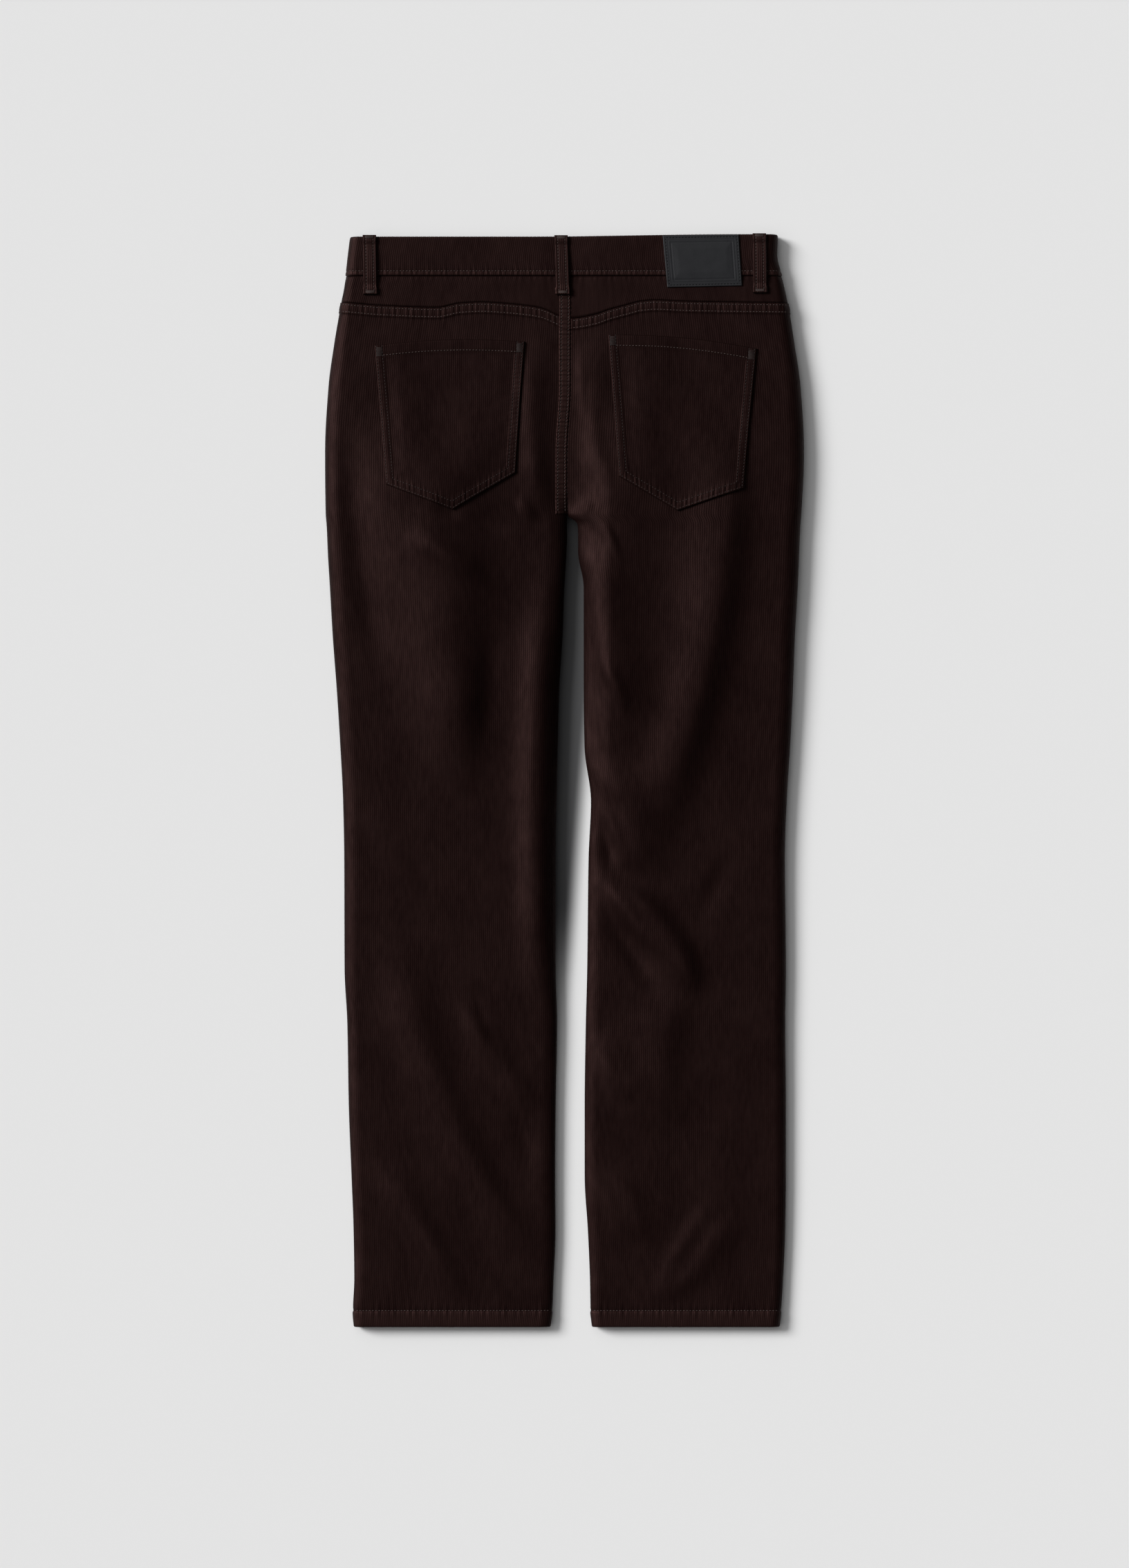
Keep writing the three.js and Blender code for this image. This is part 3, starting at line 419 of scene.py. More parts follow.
def cloth_places(grid):
    """Each point's place on the flat cloth: its distance along the middle row and the middle column."""
    across = np.linalg.norm(np.diff(grid[len(grid) // 2], axis=0), axis=-1)
    along = np.linalg.norm(np.diff(grid[:, grid.shape[1] // 2], axis=0), axis=-1)
    u = np.concatenate([[0], np.cumsum(across)])
    v = np.concatenate([[0], np.cumsum(along)])
    return np.stack(np.meshgrid(u, v), axis=-1)


def quads_of(index, flip):
    """Four-sided faces over a grid of point numbers, turned over where flip is true."""
    a, b, c, d = index[:-1, :-1], index[:-1, 1:], index[1:, 1:], index[1:, :-1]
    faces = np.stack([a, d, c, b] if flip else [a, b, c, d], axis=-1)
    return faces.reshape(-1, 4)


def fan_rim(outer, inner, flip):
    """Triangles from a fine edge to a coarse one that has a point at every FAN-th of its points."""
    near = np.minimum((np.arange(len(outer)) + FAN // 2) // FAN, len(inner) - 1)
    fan = np.stack([outer[1:], outer[:-1], inner[near[:-1]]], axis=-1)
    turn = np.flatnonzero(near[1:] != near[:-1]) + 1
    close = np.stack([outer[turn], inner[near[turn] - 1], inner[near[turn]]], axis=-1)
    faces = np.concatenate([fan, close])
    return faces[:, ::-1] if flip else faces


def area_of(grid):
    """The area of a grid of points, as the sum of its cells: half the cross product of their diagonals."""
    one, other = grid[1:, 1:] - grid[:-1, :-1], grid[1:, :-1] - grid[:-1, 1:]
    return np.linalg.norm(np.cross(one, other), axis=-1).sum() / 2


cuts = {}  # each shell's flat width, length and area, in metres


def shell(name, grid, lift, depth, outward, keep=lambda points: points, wear_and_highlight=0):
    """A closed cloth wall: the outer face is the grid plus lift times its normals, the inner face is the
    grid less depth times its normals, and keep may hold points inside a limit. The last argument lightens
    the pile where it is rubbed, partly as a painted highlight on raised edges."""
    normal = grid_normals(grid)
    flip = (normal[len(grid) // 2, grid.shape[1] // 2] @ np.array(outward)) < 0
    normal = -normal if flip else normal
    shape = grid.shape[:2]
    lift, depth = np.broadcast_to(lift, shape), np.broadcast_to(depth, shape)
    outer = keep(grid + normal * lift[..., None])
    inner = keep(grid - normal * depth[..., None])[:, ::FAN]
    places = cloth_places(grid)
    points = np.concatenate([outer.reshape(-1, 3), inner.reshape(-1, 3)])
    uv = np.concatenate([places.reshape(-1, 2), places[:, ::FAN].reshape(-1, 2)])
    out = np.arange(shape[0] * shape[1]).reshape(shape)
    inn = out.size + np.arange(inner.shape[0] * inner.shape[1]).reshape(inner.shape[:2])
    sides = np.stack([out[:, 0], inn[:, 0]], axis=1), np.stack([out[:, -1], inn[:, -1]], axis=1)
    quads = [quads_of(out, flip), quads_of(inn, not flip)]
    quads += [quads_of(sides[0], not flip), quads_of(sides[1], flip)]
    rims = [fan_rim(out[0], inn[0], flip), fan_rim(out[-1], inn[-1], not flip)]
    tone = np.full(len(points), 0.2)
    # The grooves are painted darker than the ribs beside them: painted shade.
    painted_groove_shade = 0.3 * (np.arange(shape[1]) % WALE_COLUMNS != 0)
    # The rest of the tone lightens rubbed raised edges, partly as a painted highlight.
    tone[: out.size] = (np.broadcast_to(wear_and_highlight, shape) + painted_groove_shade).ravel()
    # A column counts without its travel sideways, because some columns bend round a pocket's mouth.
    width = max(places[..., 0].max(), np.linalg.norm(np.diff(grid, axis=1), axis=-1).sum(axis=1).max())
    length = np.linalg.norm(np.diff(grid, axis=0)[..., 1:], axis=-1).sum(axis=0).max()
    cuts[name] = (width * MM, length * MM, area_of(grid) * MM**2)
    return make_mesh(name, points, np.concatenate(quads), np.concatenate(rims), uv, tone)


def wale_lift(columns):
    """The ribs' height in each column: 0 in the groove between two ribs, and full on the two beside."""
    return WALE_HEIGHT * (np.arange(columns) % WALE_COLUMNS != 0)


def ripple(t, length, seed):
    """An uneven wave of about that length, from -1 to 1: two sines whose lengths don't match."""
    turn = math.tau * t / length
    return 0.6 * np.sin(turn + seed) + 0.4 * np.sin(turn / 0.71 + 2.3 * seed)


def dense(count):
    """Shares from 0 to 1 that crowd towards both ends, as half a turn of a cosine does."""
    return (1 - np.cos(np.linspace(0, math.pi, count))) / 2


def above_seam(points):
    """Holds the upper pieces above the plane of the side seams."""
    seam = section["side"](WAIST_Y - points[..., 1]) + SEAM_GAP / 2
    return np.concatenate([points[..., :2], np.maximum(points[..., 2], seam)[..., None]], axis=-1)


def below_seam(points):
    """Holds the lower pieces below the plane of the side seams, and on the surface."""
    seam = section["side"](WAIST_Y - points[..., 1]) - SEAM_GAP / 2
    return np.concatenate([points[..., :2], np.clip(points[..., 2], 0, seam)[..., None]], axis=-1)


UP, DOWN = (0, 0, 1), (0, 0, -1)
FINE = 500  # points of a cut before it is spaced evenly
pieces = {}


def finished(node, piece, material):
    """Dresses a node's piece: its material, the body it rides on and the node that it stands for."""
    piece.data.materials.append(material)
    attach(piece, "root")
    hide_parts(node)
    pieces[node] = piece
    return piece


# %% [markdown]
# ## Corduroy
#
# The pile is dyed a brown that is nearly black. It gives back so little light that its look comes from
# its sheen: the flank of a fold that leans to the light is lighter, with a red-brown tint. The pile
# leans a little unevenly, so soft blotches and streaks along the wales vary its colour. The ground
# cloth between two wales is painted darker, as painted shade, and rubbed raised edges are painted
# lighter, partly as wear and partly as a painted highlight.

# %% Corduroy material


def material_nodes(name):
    """A new material, its node tree and its Principled shader."""
    material = bpy.data.materials.new(name)
    material.use_nodes = True
    return material, material.node_tree, material.node_tree.nodes["Principled BSDF"]


def node(tree, kind, inputs=(), **settings):
    """Adds a node, sets its properties, and sets or links the inputs given as (socket, value)."""
    made = tree.nodes.new(kind)
    for key, value in settings.items():
        setattr(made, key, value)
    for socket, value in inputs:
        if isinstance(value, bpy.types.NodeSocket):
            tree.links.new(value, made.inputs[socket])
        else:
            made.inputs[socket].default_value = value
    return made


def ranged(tree, value, low, high, start=0.0, end=1.0, kind="LINEAR"):
    """The value's place between low and high, as a number from start to end."""
    limits = [("From Min", low), ("From Max", high), ("To Min", start), ("To Max", end)]
    made = node(tree, "ShaderNodeMapRange", [("Value", value), *limits], interpolation_type=kind)
    return made.outputs[0]


def math_of(tree, operation, *values):
    """The math node's result for the values."""
    return node(tree, "ShaderNodeMath", enumerate(values), operation=operation).outputs[0]


def noise(tree, place_on, scale, detail=2.0):
    """A noise texture's value over the cloth; scale is patches in a metre across and along."""
    mapped = node(tree, "ShaderNodeMapping", [("Vector", place_on), ("Scale", (*scale, 1))])
    inputs = [("Vector", mapped.outputs[0]), ("Scale", 1.0), ("Detail", detail)]
    made = node(tree, "ShaderNodeTexNoise", inputs)
    return made.outputs["Fac"]


def corduroy(name, dark, light):
    """Cloth colour between dark and light by blotches, streaks, painted shade in the grooves and lighter
    rubbed edges, partly a painted highlight, with a bump for the pile.
    """
    material, tree, shader = material_nodes(name)
    on_cloth = node(tree, "ShaderNodeUVMap", uv_map="Cloth").outputs[0]
    blotch = noise(tree, on_cloth, (28, 16), 3.0)
    streak = noise(tree, on_cloth, (260, 60), 3.0)
    fuzz = noise(tree, on_cloth, (1500, 1100), 2.0)
    # The tone attribute holds the painted shade in the grooves and the lighter rubbed edges, partly a
    # painted highlight.
    tone = node(tree, "ShaderNodeAttribute", attribute_name="tone").outputs["Fac"]
    uneven = ranged(tree, math_of(tree, "ADD", blotch, streak), 0.7, 1.3, 0.2, 0.55)
    level = math_of(tree, "ADD", uneven, tone)
    colour = node(tree, "ShaderNodeMix", [("Factor", level)], data_type="RGBA")
    colour.inputs["A"].default_value = (*dark, 1)
    colour.inputs["B"].default_value = (*light, 1)
    tree.links.new(colour.outputs["Result"], shader.inputs["Base Color"])
    tree.links.new(ranged(tree, level, 0.2, 1.2, 0.05, 0.4), shader.inputs["Specular IOR Level"])
    bump = node(tree, "ShaderNodeBump", [("Height", fuzz), ("Strength", 0.35), ("Distance", 0.0004)])
    tree.links.new(bump.outputs[0], shader.inputs["Normal"])
    shader.inputs["Roughness"].default_value = 0.58
    shader.inputs["Specular Tint"].default_value = (1.0, 0.52, 0.48, 1)
    return material


CORDUROY = corduroy("brown_corduroy", (0.0030, 0.0010, 0.0011), (0.0062, 0.0026, 0.0022))
print("materials:", CORDUROY.name)

# %% [markdown]
# ## The backs and the yokes
#
# The back of a leg and half the seat are one piece of cloth. Its upper edge is lapped over the yoke and
# sewn twice, which makes a raised band along a curved line. Rows of the grid follow that line at the top
# and soon straighten below it. Near the seam the cloth puckers a little between the stitches.

# %% Backs and yokes
YOKE_ROWS_END = 50  # below the yoke line, where the rows run straight


def down_at(level, x):
    """A row's distance down: its level, moved with the yoke seam's curve near the top."""
    return level + (yoke_seam(x) - YOKE_LEVEL) * (1 - smooth((level - 82) / YOKE_ROWS_END))


YOKE_LEAN = 0.27  # the yoke is cut so that its wales lean, by this much across for each step down


def ribs_across(distance):
    """The wales as level waves of a distance across them."""
    return 0.5 * WALE_HEIGHT * (1 + np.cos(math.tau * distance / WALE))


def upper_grid(side, down_of, fineness=1):
    """A grid over the upper face, from the side seam to the centre; down_of gives down from x."""
    share = dense(FINE)[None, :]
    reach = lambda down: mix(outer_edge(side, down), inner_edge(side, down) + side * SEAM_GAP / 2, share)
    down = down_of(reach(YOKE_LEVEL))
    down = down_of(reach(down))
    x = reach(down)
    fine = place(x, down, top_height(x, down, side))
    return even_columns(fine, fineness * (wale_columns(fine) - 1) + 1)


def edge_round(distance, radius):
    """How much a folded edge drops at that distance from its end: a quarter circle."""
    return radius * (1 - quarter_round(distance / radius))


HEM_ROUND = 1.6


def hem_lift(down):
    """The hem's layers raise the cloth below its stitches, and its folded edge rounds off."""
    layers = HEM_RISE * smooth((down - LENGTH + HEM_DEPTH) / 1.2)
    channel = 0.35 * np.exp(-(((down - LENGTH + HEM_DEPTH + 0.8) / 1.1) ** 2))
    return layers - channel - edge_round(LENGTH - down, HEM_ROUND)


def hem_depth(down):
    """The inside of the wall: one layer, and more within the hem."""
    layers = HEM_FOLD * smooth((down - LENGTH + HEM_DEPTH) / 1.2)
    return CLOTH + layers - edge_round(LENGTH - down, HEM_ROUND)


def back_levels():
    """Rows of a back: close together on the band, round the crotch and on the hem."""
    band = YOKE_LEVEL + np.array([0.15, 0.5, 1, 1.6, 3, 4.5, 6, 7.5, 9, 10, 10.7, 11.4, 12.2, 14])
    seat = np.arange(88, 250, 6.0)
    crotch = np.arange(250, 330, 3.5)
    leg = np.arange(331, LENGTH - HEM_DEPTH - 5, 6.0)
    hem = LENGTH - HEM_DEPTH + np.array([-3, -1.6, -0.8, 0, 0.8, 2, 4.5, 7, 9.5, 12])
    return np.concatenate([band, seat, crotch, leg, hem, LENGTH - np.array([1.6, 1.1, 0.7, 0.35, 0.1, 0])])


def band_lift(below):
    """The felled seam, by the distance below its folded edge: two rows of stitches sink into it."""
    edge = BAND_RISE * smooth((below + 0.1) / 0.8) * (1 - smooth((below - BAND_WIDTH + 1.2) / 1.6))
    rows = sum(np.exp(-(((below - row) / 0.9) ** 2)) for row in (2.2, 9.3))
    return edge - 0.35 * rows


for name, side in (("left", -1), ("right", 1)):
    levels = back_levels()[:, None]
    grid = upper_grid(side, lambda x: down_at(levels, x))
    down = WAIST_Y - grid[..., 1]
    below = levels - YOKE_LEVEL
    pucker = 0.28 * ripple(grid[..., 0], 6.5, side) * np.exp(-(((below - 6) / 7.0) ** 2))
    by_hem = np.exp(-(((down - LENGTH + HEM_DEPTH) / 6.0) ** 2))
    hem_pucker = 0.22 * ripple(grid[..., 0], 7.5, 3 + side) * by_hem
    raised = wale_lift(grid.shape[1])
    grid[..., 1] -= 1.1 * raised * np.exp(-(((LENGTH - down) / 1.0) ** 2))
    lift = raised + band_lift(below) * (below < 20) + hem_lift(down) + pucker + hem_pucker
    # The felled band and the hem are painted lighter: wear, and partly a painted highlight on these raised
    # parts.
    wear_and_highlight = 0.06 * smooth((below + 1) / 1) * (1 - smooth((below - BAND_WIDTH) / 1))
    wear_and_highlight = wear_and_highlight + 0.3 * smooth((down - LENGTH + HEM_DEPTH + 1) / 2)
    made = shell(f"back_{name}_cloth", grid, lift, hem_depth(down), UP, above_seam, wear_and_highlight)
    finished(f"back_{name}", made, CORDUROY)
    print(made.name, len(made.data.polygons), "faces")

    rows = np.linspace(0, 1, 15)[:, None]
    top, bottom = WAISTBAND_DEPTH + SEAM_GAP / 2, -SEAM_GAP / 2
    grid = upper_grid(side, lambda x: mix(top, yoke_seam(x) + bottom, rows), 2)
    leaning = grid[..., 0] + (WAIST_Y - grid[..., 1] - YOKE_LEVEL) * YOKE_LEAN
    under_waist = 0.3 * np.exp(-(((WAIST_Y - grid[..., 1] - WAISTBAND_DEPTH) / 4.0) ** 2))
    lift = ribs_across(leaning) - under_waist * (1 + 0.5 * ripple(grid[..., 0], 7.0, side))
    made = shell(f"yoke_{name}_cloth", grid, lift, CLOTH, UP, above_seam)
    finished(f"yoke_{name}", made, CORDUROY)
    print(made.name, len(made.data.polygons), "faces")

# %% [markdown]
# ## The waistband
#
# One strip of cloth, folded along its upper edge, goes round the waist and laps over itself at the centre
# front, which lies on the surface here. A cut along it runs on the surface from the lap to the side,
# round the side fold, across the back and home again on the other side.

# %% Waistband
TAB_OVER, TAB_UNDER, TAB_RAMP = 18, 14, 10
WAISTBAND_ROUND = 1.5
WAISTBAND_CORNER = 2.6  # its upper corners are a little rounded


def waist_cut(level):
    """The waistband's cut at one level: under the front, round the left side, over the back, and round."""
    centre = section["seam_left"](WAISTBAND_DEPTH / 2)
    corner = edge_round(level, WAISTBAND_CORNER)
    left, right = section["left"](level) + corner, section["right"](level) - corner
    top_edge = lambda x: 2.4 * (1 - smooth((x + 40) / 220)) * (1 - level / WAISTBAND_DEPTH)
    half = (1 - np.cos(np.linspace(0, math.pi / 2, FINE // 2))) / 2 * 2
    runs = []
    for side, edge, start in ((-1, left, centre + TAB_OVER), (1, right, centre - TAB_UNDER)):
        x = edge + (start - edge) * half
        over = (WAISTBAND_CLOTH + SEAM_GAP) * (1 - smooth((x - centre - TAB_OVER - 1) / TAB_RAMP))
        proud = WAISTBAND_PROUD * quarter_round(np.abs(x - edge) / section["round"](level))
        down = level + top_edge(x)
        z = bottom_height(x, down, side) + proud + (over if side > 0 else 0)
        runs.append(place(x, down, z))
    x = mix(left, right, dense(2 * FINE))
    down = level + top_edge(x)
    z = np.where(x < centre, top_height(x, down, -1), top_height(x, down, 1))
    return np.concatenate([runs[0][::-1], place(x, down, z)[1:-1], runs[1]])


levels = [0, 0.1, 0.35, 0.8, 1.5, 4, 9, 15, 21, 27, 33, 35.5, 36.6, 37.6, 39, 40.4, 41.2, 41.7, 41.85]
levels = np.array(levels)
fine = np.array([waist_cut(level) for level in levels])
grid = even_columns(fine, wale_columns(fine))
level = levels[:, None]
grid[..., 1] += 1.1 * wale_lift(grid.shape[1]) * np.exp(-((level / 1.2) ** 2))
ends = np.minimum(level, WAISTBAND_DEPTH - SEAM_GAP / 2 - level)
rounded = edge_round(ends, WAISTBAND_ROUND)
channel = 0.3 * np.exp(-(((level - 37) / 1.0) ** 2))
pucker = 0.25 * ripple(grid[..., 0], 6.0, 1.7) * np.exp(-(((level - 38) / 4.5) ** 2))
under = grid[..., 2] < section["side"](level)
wales = wale_lift(grid.shape[1]) * smooth((ends + 0.6) / 1.2)
lift = np.where(under, np.minimum(wales - WALE_HEIGHT, 0), wales + pucker)
lift = lift + WAISTBAND_PROUD - channel - rounded
# The waistband is painted lighter along its lower seam and its folded top edge: wear, and partly a painted
# highlight on these rounded edges.
wear_and_highlight = 0.05 + 0.3 * np.exp(-(((level - 40) / 3.0) ** 2)) + 0.15 * np.exp(-((level / 1.5) ** 2))
made = shell("waistband_cloth", grid, lift, WAISTBAND_CLOTH - WAISTBAND_PROUD - rounded, UP, wear_and_highlight=wear_and_highlight)
finished("waistband", made, CORDUROY)
print(made.name, len(made.data.polygons), "faces")

# %% [markdown]
# ## The front
#
# It lies on the surface, so from above only its edges show. It is still whole: two fronts that lap at the
# fly, the scooped mouths of the pockets and the pieces behind them. Here the wales sink into the cloth
# instead of standing out of it, so that the lower face stays flat where it rests.

# %% Fronts and pocket facings
FLY_OVERLAP, FLY_GAP, FLY_BOTTOM, FLY_FADE, FLY_RAMP = 10, 0.45, 185, 15, 10
MOUTH_WIDTH, MOUTH_DEPTH, MOUTH_SWEEP, MOUTH_OVERLAP = 105, 76, 0.85, 18
FACING_GAP = 0.8
SCOOP_REST = math.sqrt(1 - MOUTH_SWEEP**2)


def scoop_width(down):
    """How far a pocket's mouth reaches in from the side seam: part of an ellipse."""
    share = np.clip((down - WAISTBAND_DEPTH) / MOUTH_DEPTH, 0, 1) * MOUTH_SWEEP
    return MOUTH_WIDTH * (np.sqrt(1 - share**2) - SCOOP_REST) / (1 - SCOOP_REST)


def inside_scoop(inward, down):
    """The distance from a point in the mouth to its edge, or 0 outside it."""
    share = SCOOP_REST + (1 - SCOOP_REST) * np.clip(inward / MOUTH_WIDTH, 0, 1)
    below = WAISTBAND_DEPTH + MOUTH_DEPTH * np.sqrt(1 - share**2) / MOUTH_SWEEP - down
    beside = scoop_width(down) - inward
    distance = below * beside / np.maximum(np.hypot(below, beside), 1e-6)
    return np.where((below > 0) & (beside > 0), distance, 0)


def front_levels():
    """Rows of a front: close together along the pocket's mouth, round the crotch and on the hem."""
    mouth = WAISTBAND_DEPTH + MOUTH_DEPTH * np.array(
        [0.002, 0.02, 0.12, 0.3, 0.42, 0.55, 0.64, 0.72, 0.79, 0.85, 0.89, 0.93, 0.96, 0.985, 1]
    )
    leg = np.arange(334, LENGTH - HEM_DEPTH - 5, 9.0)
    hem = LENGTH - HEM_DEPTH + np.array([-3, -1.6, -0.8, 0, 0.8, 4.5, 9.5])
    end = LENGTH - np.array([1.6, 1.1, 0.7, 0.35, 0.1, 0])
    return np.concatenate([mouth, np.arange(124, 250, 7.0), np.arange(250, 330, 4.0), leg, hem, end])


def front_inner(side, down):
    """x of the front's inner edge: the left one laps over the right one at the fly."""
    flap = (FLY_OVERLAP + SEAM_GAP / 2) * smooth((FLY_BOTTOM - down) / FLY_FADE) - SEAM_GAP / 2
    return inner_edge(side, down) + (flap if side < 0 else SEAM_GAP / 2)


def fly_step(x, down):
    """The right front's rise over the fly's flap."""
    past = x - section["seam_right"](down) - FLY_OVERLAP - 1
    high = (CLOTH + FLY_GAP) * (1 - smooth(past / FLY_RAMP))
    return high * smooth((FLY_BOTTOM + FLY_FADE - down) / FLY_FADE)


for name, side in (("left", -1), ("right", 1)):
    down = front_levels()[:, None]
    first = outer_edge(side, down) - side * scoop_width(down)
    x = mix(first, front_inner(side, down), dense(FINE)[None, :])
    z = bottom_height(x, down, side) + (fly_step(x, down) if side > 0 else 0)
    fine = place(x, down, z)
    grid = even_columns(fine, wale_columns(fine))
    wales = wale_lift(grid.shape[1]) - WALE_HEIGHT
    rounded = edge_round(LENGTH - down, HEM_ROUND)
    sewn = 0.3 * np.exp(-(((down - LENGTH + HEM_DEPTH + 0.8) / 1.1) ** 2))
    made = shell(f"front_{name}_cloth", grid, wales - rounded - sewn, hem_depth(down), DOWN, below_seam)
    finished(f"front_{name}", made, CORDUROY)
    print(made.name, len(made.data.polygons), "faces")

    down = WAISTBAND_DEPTH + np.concatenate([np.linspace(0.15, MOUTH_DEPTH + 12, 26)])[:, None]
    reach = np.maximum(scoop_width(down) + MOUTH_OVERLAP, section["round"](down) * UNDER_ROUND + 20)
    inward = reach * dense(FINE)[None, :]
    x = outer_edge(side, down) - side * inward
    fine = place(x, down, bottom_height(x, down, side))
    grid = even_columns(fine, wale_columns(fine))
    inward = np.abs(outer_edge(side, down) - grid[..., 0])
    behind = (CLOTH + FACING_GAP) * (1 - smooth((inside_scoop(inward, down) - 6) / 9))
    lift = wale_lift(grid.shape[1]) - WALE_HEIGHT - behind
    made = shell(f"pocket_facing_{name}_cloth", grid, lift, behind + CLOTH, DOWN, below_seam)
    finished(f"pocket_facing_{name}", made, CORDUROY)
    print(made.name, len(made.data.polygons), "faces")

# %% [markdown]
# ## The back pockets
#
# Each is one layer with its edges turned in and sewn twice, and a hem along its mouth. Its rows and
# columns follow its own five-sided outline, and every point takes its height from the back under it.
# Between the stitches the turned-in edges pucker.

# %% Back pockets
POCKETS = {  # x and down of the mouth's ends, the lower corners and the tip
    -1: {"top": ((-192, 112.5), (-40, 108.5)), "corners": ((-180, 253), (-49.5, 241)), "tip": (-112.5, 278)},
    1: {"top": ((194, 115.5), (43.7, 101.5)), "corners": ((180, 257), (54.8, 245)), "tip": (114, 279.5)},
}
POCKET_GAP = 0.8
POCKET_ARCH = 4
POCKET_HEM = 12
POCKET_RIM = 8.5
POCKET_RIM_RISE = 0.5
TIP_AT = 0.47
POCKET_STITCHES = (1.8, 7.6)  # from the edge
SLACK = {  # where the pocket's cloth stands off: u, v, width, height as shares, and rise in mm
    -1: [
        (0.16, 0.45, 0.16, 0.6, 1.3),
        (0.7, 0.72, 0.16, 0.14, 1.2),
        (0.42, 0.35, 0.16, 0.4, -0.8),
        (0.8, 0.25, 0.2, 0.2, 0.8),
    ],
    1: [(0.75, 0.4, 0.16, 0.5, 1.2), (0.3, 0.7, 0.2, 0.16, 0.9), (0.5, 0.4, 0.18, 0.4, -0.6)],
}


def pocket_place(side, u, v):
    """x and down of a point of the pocket: u goes across it from the outer edge, and v goes down it."""
    shape = POCKETS[side]
    first, last = np.array(shape["top"])
    outer, inner, tip = np.array(shape["corners"][0]), np.array(shape["corners"][1]), np.array(shape["tip"])
    u, v = np.broadcast_arrays(u, v)
    top = mix(first, last, u[..., None])
    top[..., 1] -= POCKET_ARCH * np.sin(math.pi * u)
    low = np.clip(u / TIP_AT, 0, 1)[..., None]
    high = np.clip((u - TIP_AT) / (1 - TIP_AT), 0, 1)[..., None]
    bottom = np.where(high > 0, mix(tip, inner, high), mix(outer, tip, low))
    spot = mix(top, bottom, v[..., None])
    return spot[..., 0], spot[..., 1]


def line_distance(x, down, first, last):
    """The distance from a point to the straight line through first and last."""
    run = np.subtract(last, first)
    return np.abs((x - first[0]) * run[1] - (down - first[1]) * run[0]) / np.hypot(*run)


def pocket_edges(side, u, v):
    """Distances from a point of the pocket to its sides, its lower edge and its mouth."""
    x, down = pocket_place(side, u, v)
    (outer_top, inner_top), (outer, inner), tip = POCKETS[side].values()
    sides = np.minimum(line_distance(x, down, outer_top, outer), line_distance(x, down, inner_top, inner))
    foot = np.minimum(line_distance(x, down, outer, tip), line_distance(x, down, tip, inner))
    return sides, foot, down - pocket_place(side, u, 0 * v)[1]


def pocket_lift(side, u, v):
    """The layer and its turned-in rim, with the stitches' channels and the puckers between them."""
    sides, foot, mouth = pocket_edges(side, u, v)
    edge = np.minimum(sides, foot)
    rim = np.maximum(1 - smooth((edge - POCKET_RIM) / 1.2), 1 - smooth((mouth - POCKET_HEM) / 1.2))
    rows = sum(np.exp(-(((edge - row) / 0.8) ** 2)) for row in POCKET_STITCHES)
    rows = rows + np.exp(-(((mouth - POCKET_HEM + 1.2) / 0.8) ** 2))
    along = np.where(sides < foot, v * 165, u * 150)
    pucker = ripple(along, 6.2, 2 + side) * np.exp(-(((edge - 5) / 5.5) ** 2))
    slack = 0
    for at, low, wide, tall, rise in SLACK[side]:
        slack = slack + rise * np.exp(-(((u - at) / wide) ** 2) - (((v - low) / tall) ** 2))
    slack = slack * smooth((edge - 8) / 16)
    body = POCKET_GAP + CLOTH + POCKET_RIM_RISE * rim + 0.3 * pucker + slack - 0.3 * rows
    return body - edge_round(np.minimum(edge, mouth), 1.3)


for name, side in (("left", -1), ("right", 1)):
    ends = np.array([0, 0.0015, 0.004, 0.008])
    v = np.concatenate([ends, np.linspace(0.014, 0.986, 84), 1 - ends[::-1]])[:, None]
    u = np.linspace(0, 1, FINE)[None, :]
    x, down = pocket_place(side, u, v)
    fine = place(x, down, top_height(x, down, side))
    grid = even_columns(fine, wale_columns(fine))
    u = np.linspace(0, 1, grid.shape[1])[None, :]
    lift = wale_lift(grid.shape[1]) * smooth(np.minimum(v, 1 - v) / 0.004) + pocket_lift(side, u, v)
    sides, foot, mouth = pocket_edges(side, u, v)
    rim = np.minimum(np.minimum(sides, foot), mouth + 4)
    # The pocket is painted lighter along its rim and a little darker inside it: wear, and partly a painted
    # highlight on the raised rim.
    wear_and_highlight = 0.22 * np.exp(-((rim / 3.0) ** 2)) - 0.06
    made = shell(f"back_pocket_{name}_cloth", grid, lift, -POCKET_GAP, UP, wear_and_highlight=wear_and_highlight)
    finished(f"back_pocket_{name}", made, CORDUROY)
    print(made.name, len(made.data.polygons), "faces")

# %% [markdown]
# ## The belt loops and the patch
#
# A belt loop is a narrow folded strip, sewn along both sides, with its lower end turned under and tacked.
# The patch is a piece of leather with a frame of two pressed lines, and it is left bare inside it.

# %% Belt loops
BACK_LOOPS = {"left": (-197, -196, 0.8), "centre": (-3.5, -1.5, 1), "right": (196.7, 197.5, -0.8)}
LOOP_FOLD_LENGTH = 8
LOOP_WALES = 7


def dressed_height(x, down):
    """The back's outer face, with the waistband's step and the felled band below it."""
    seam = section["seam_left"](down)
    into_band = BAND_WIDTH / 2 + 5 - np.abs(x - seam + BAND_WIDTH / 2)
    band = BAND_RISE * smooth(into_band / 2) * smooth((down - WAISTBAND_DEPTH + 8) / 8)
    waist = WAISTBAND_PROUD * (1 - smooth((down - WAISTBAND_DEPTH - 1) / 8))
    height = np.where(x < seam, top_height(x, down, -1), top_height(x, down, 1))
    return height + np.maximum(band, waist)


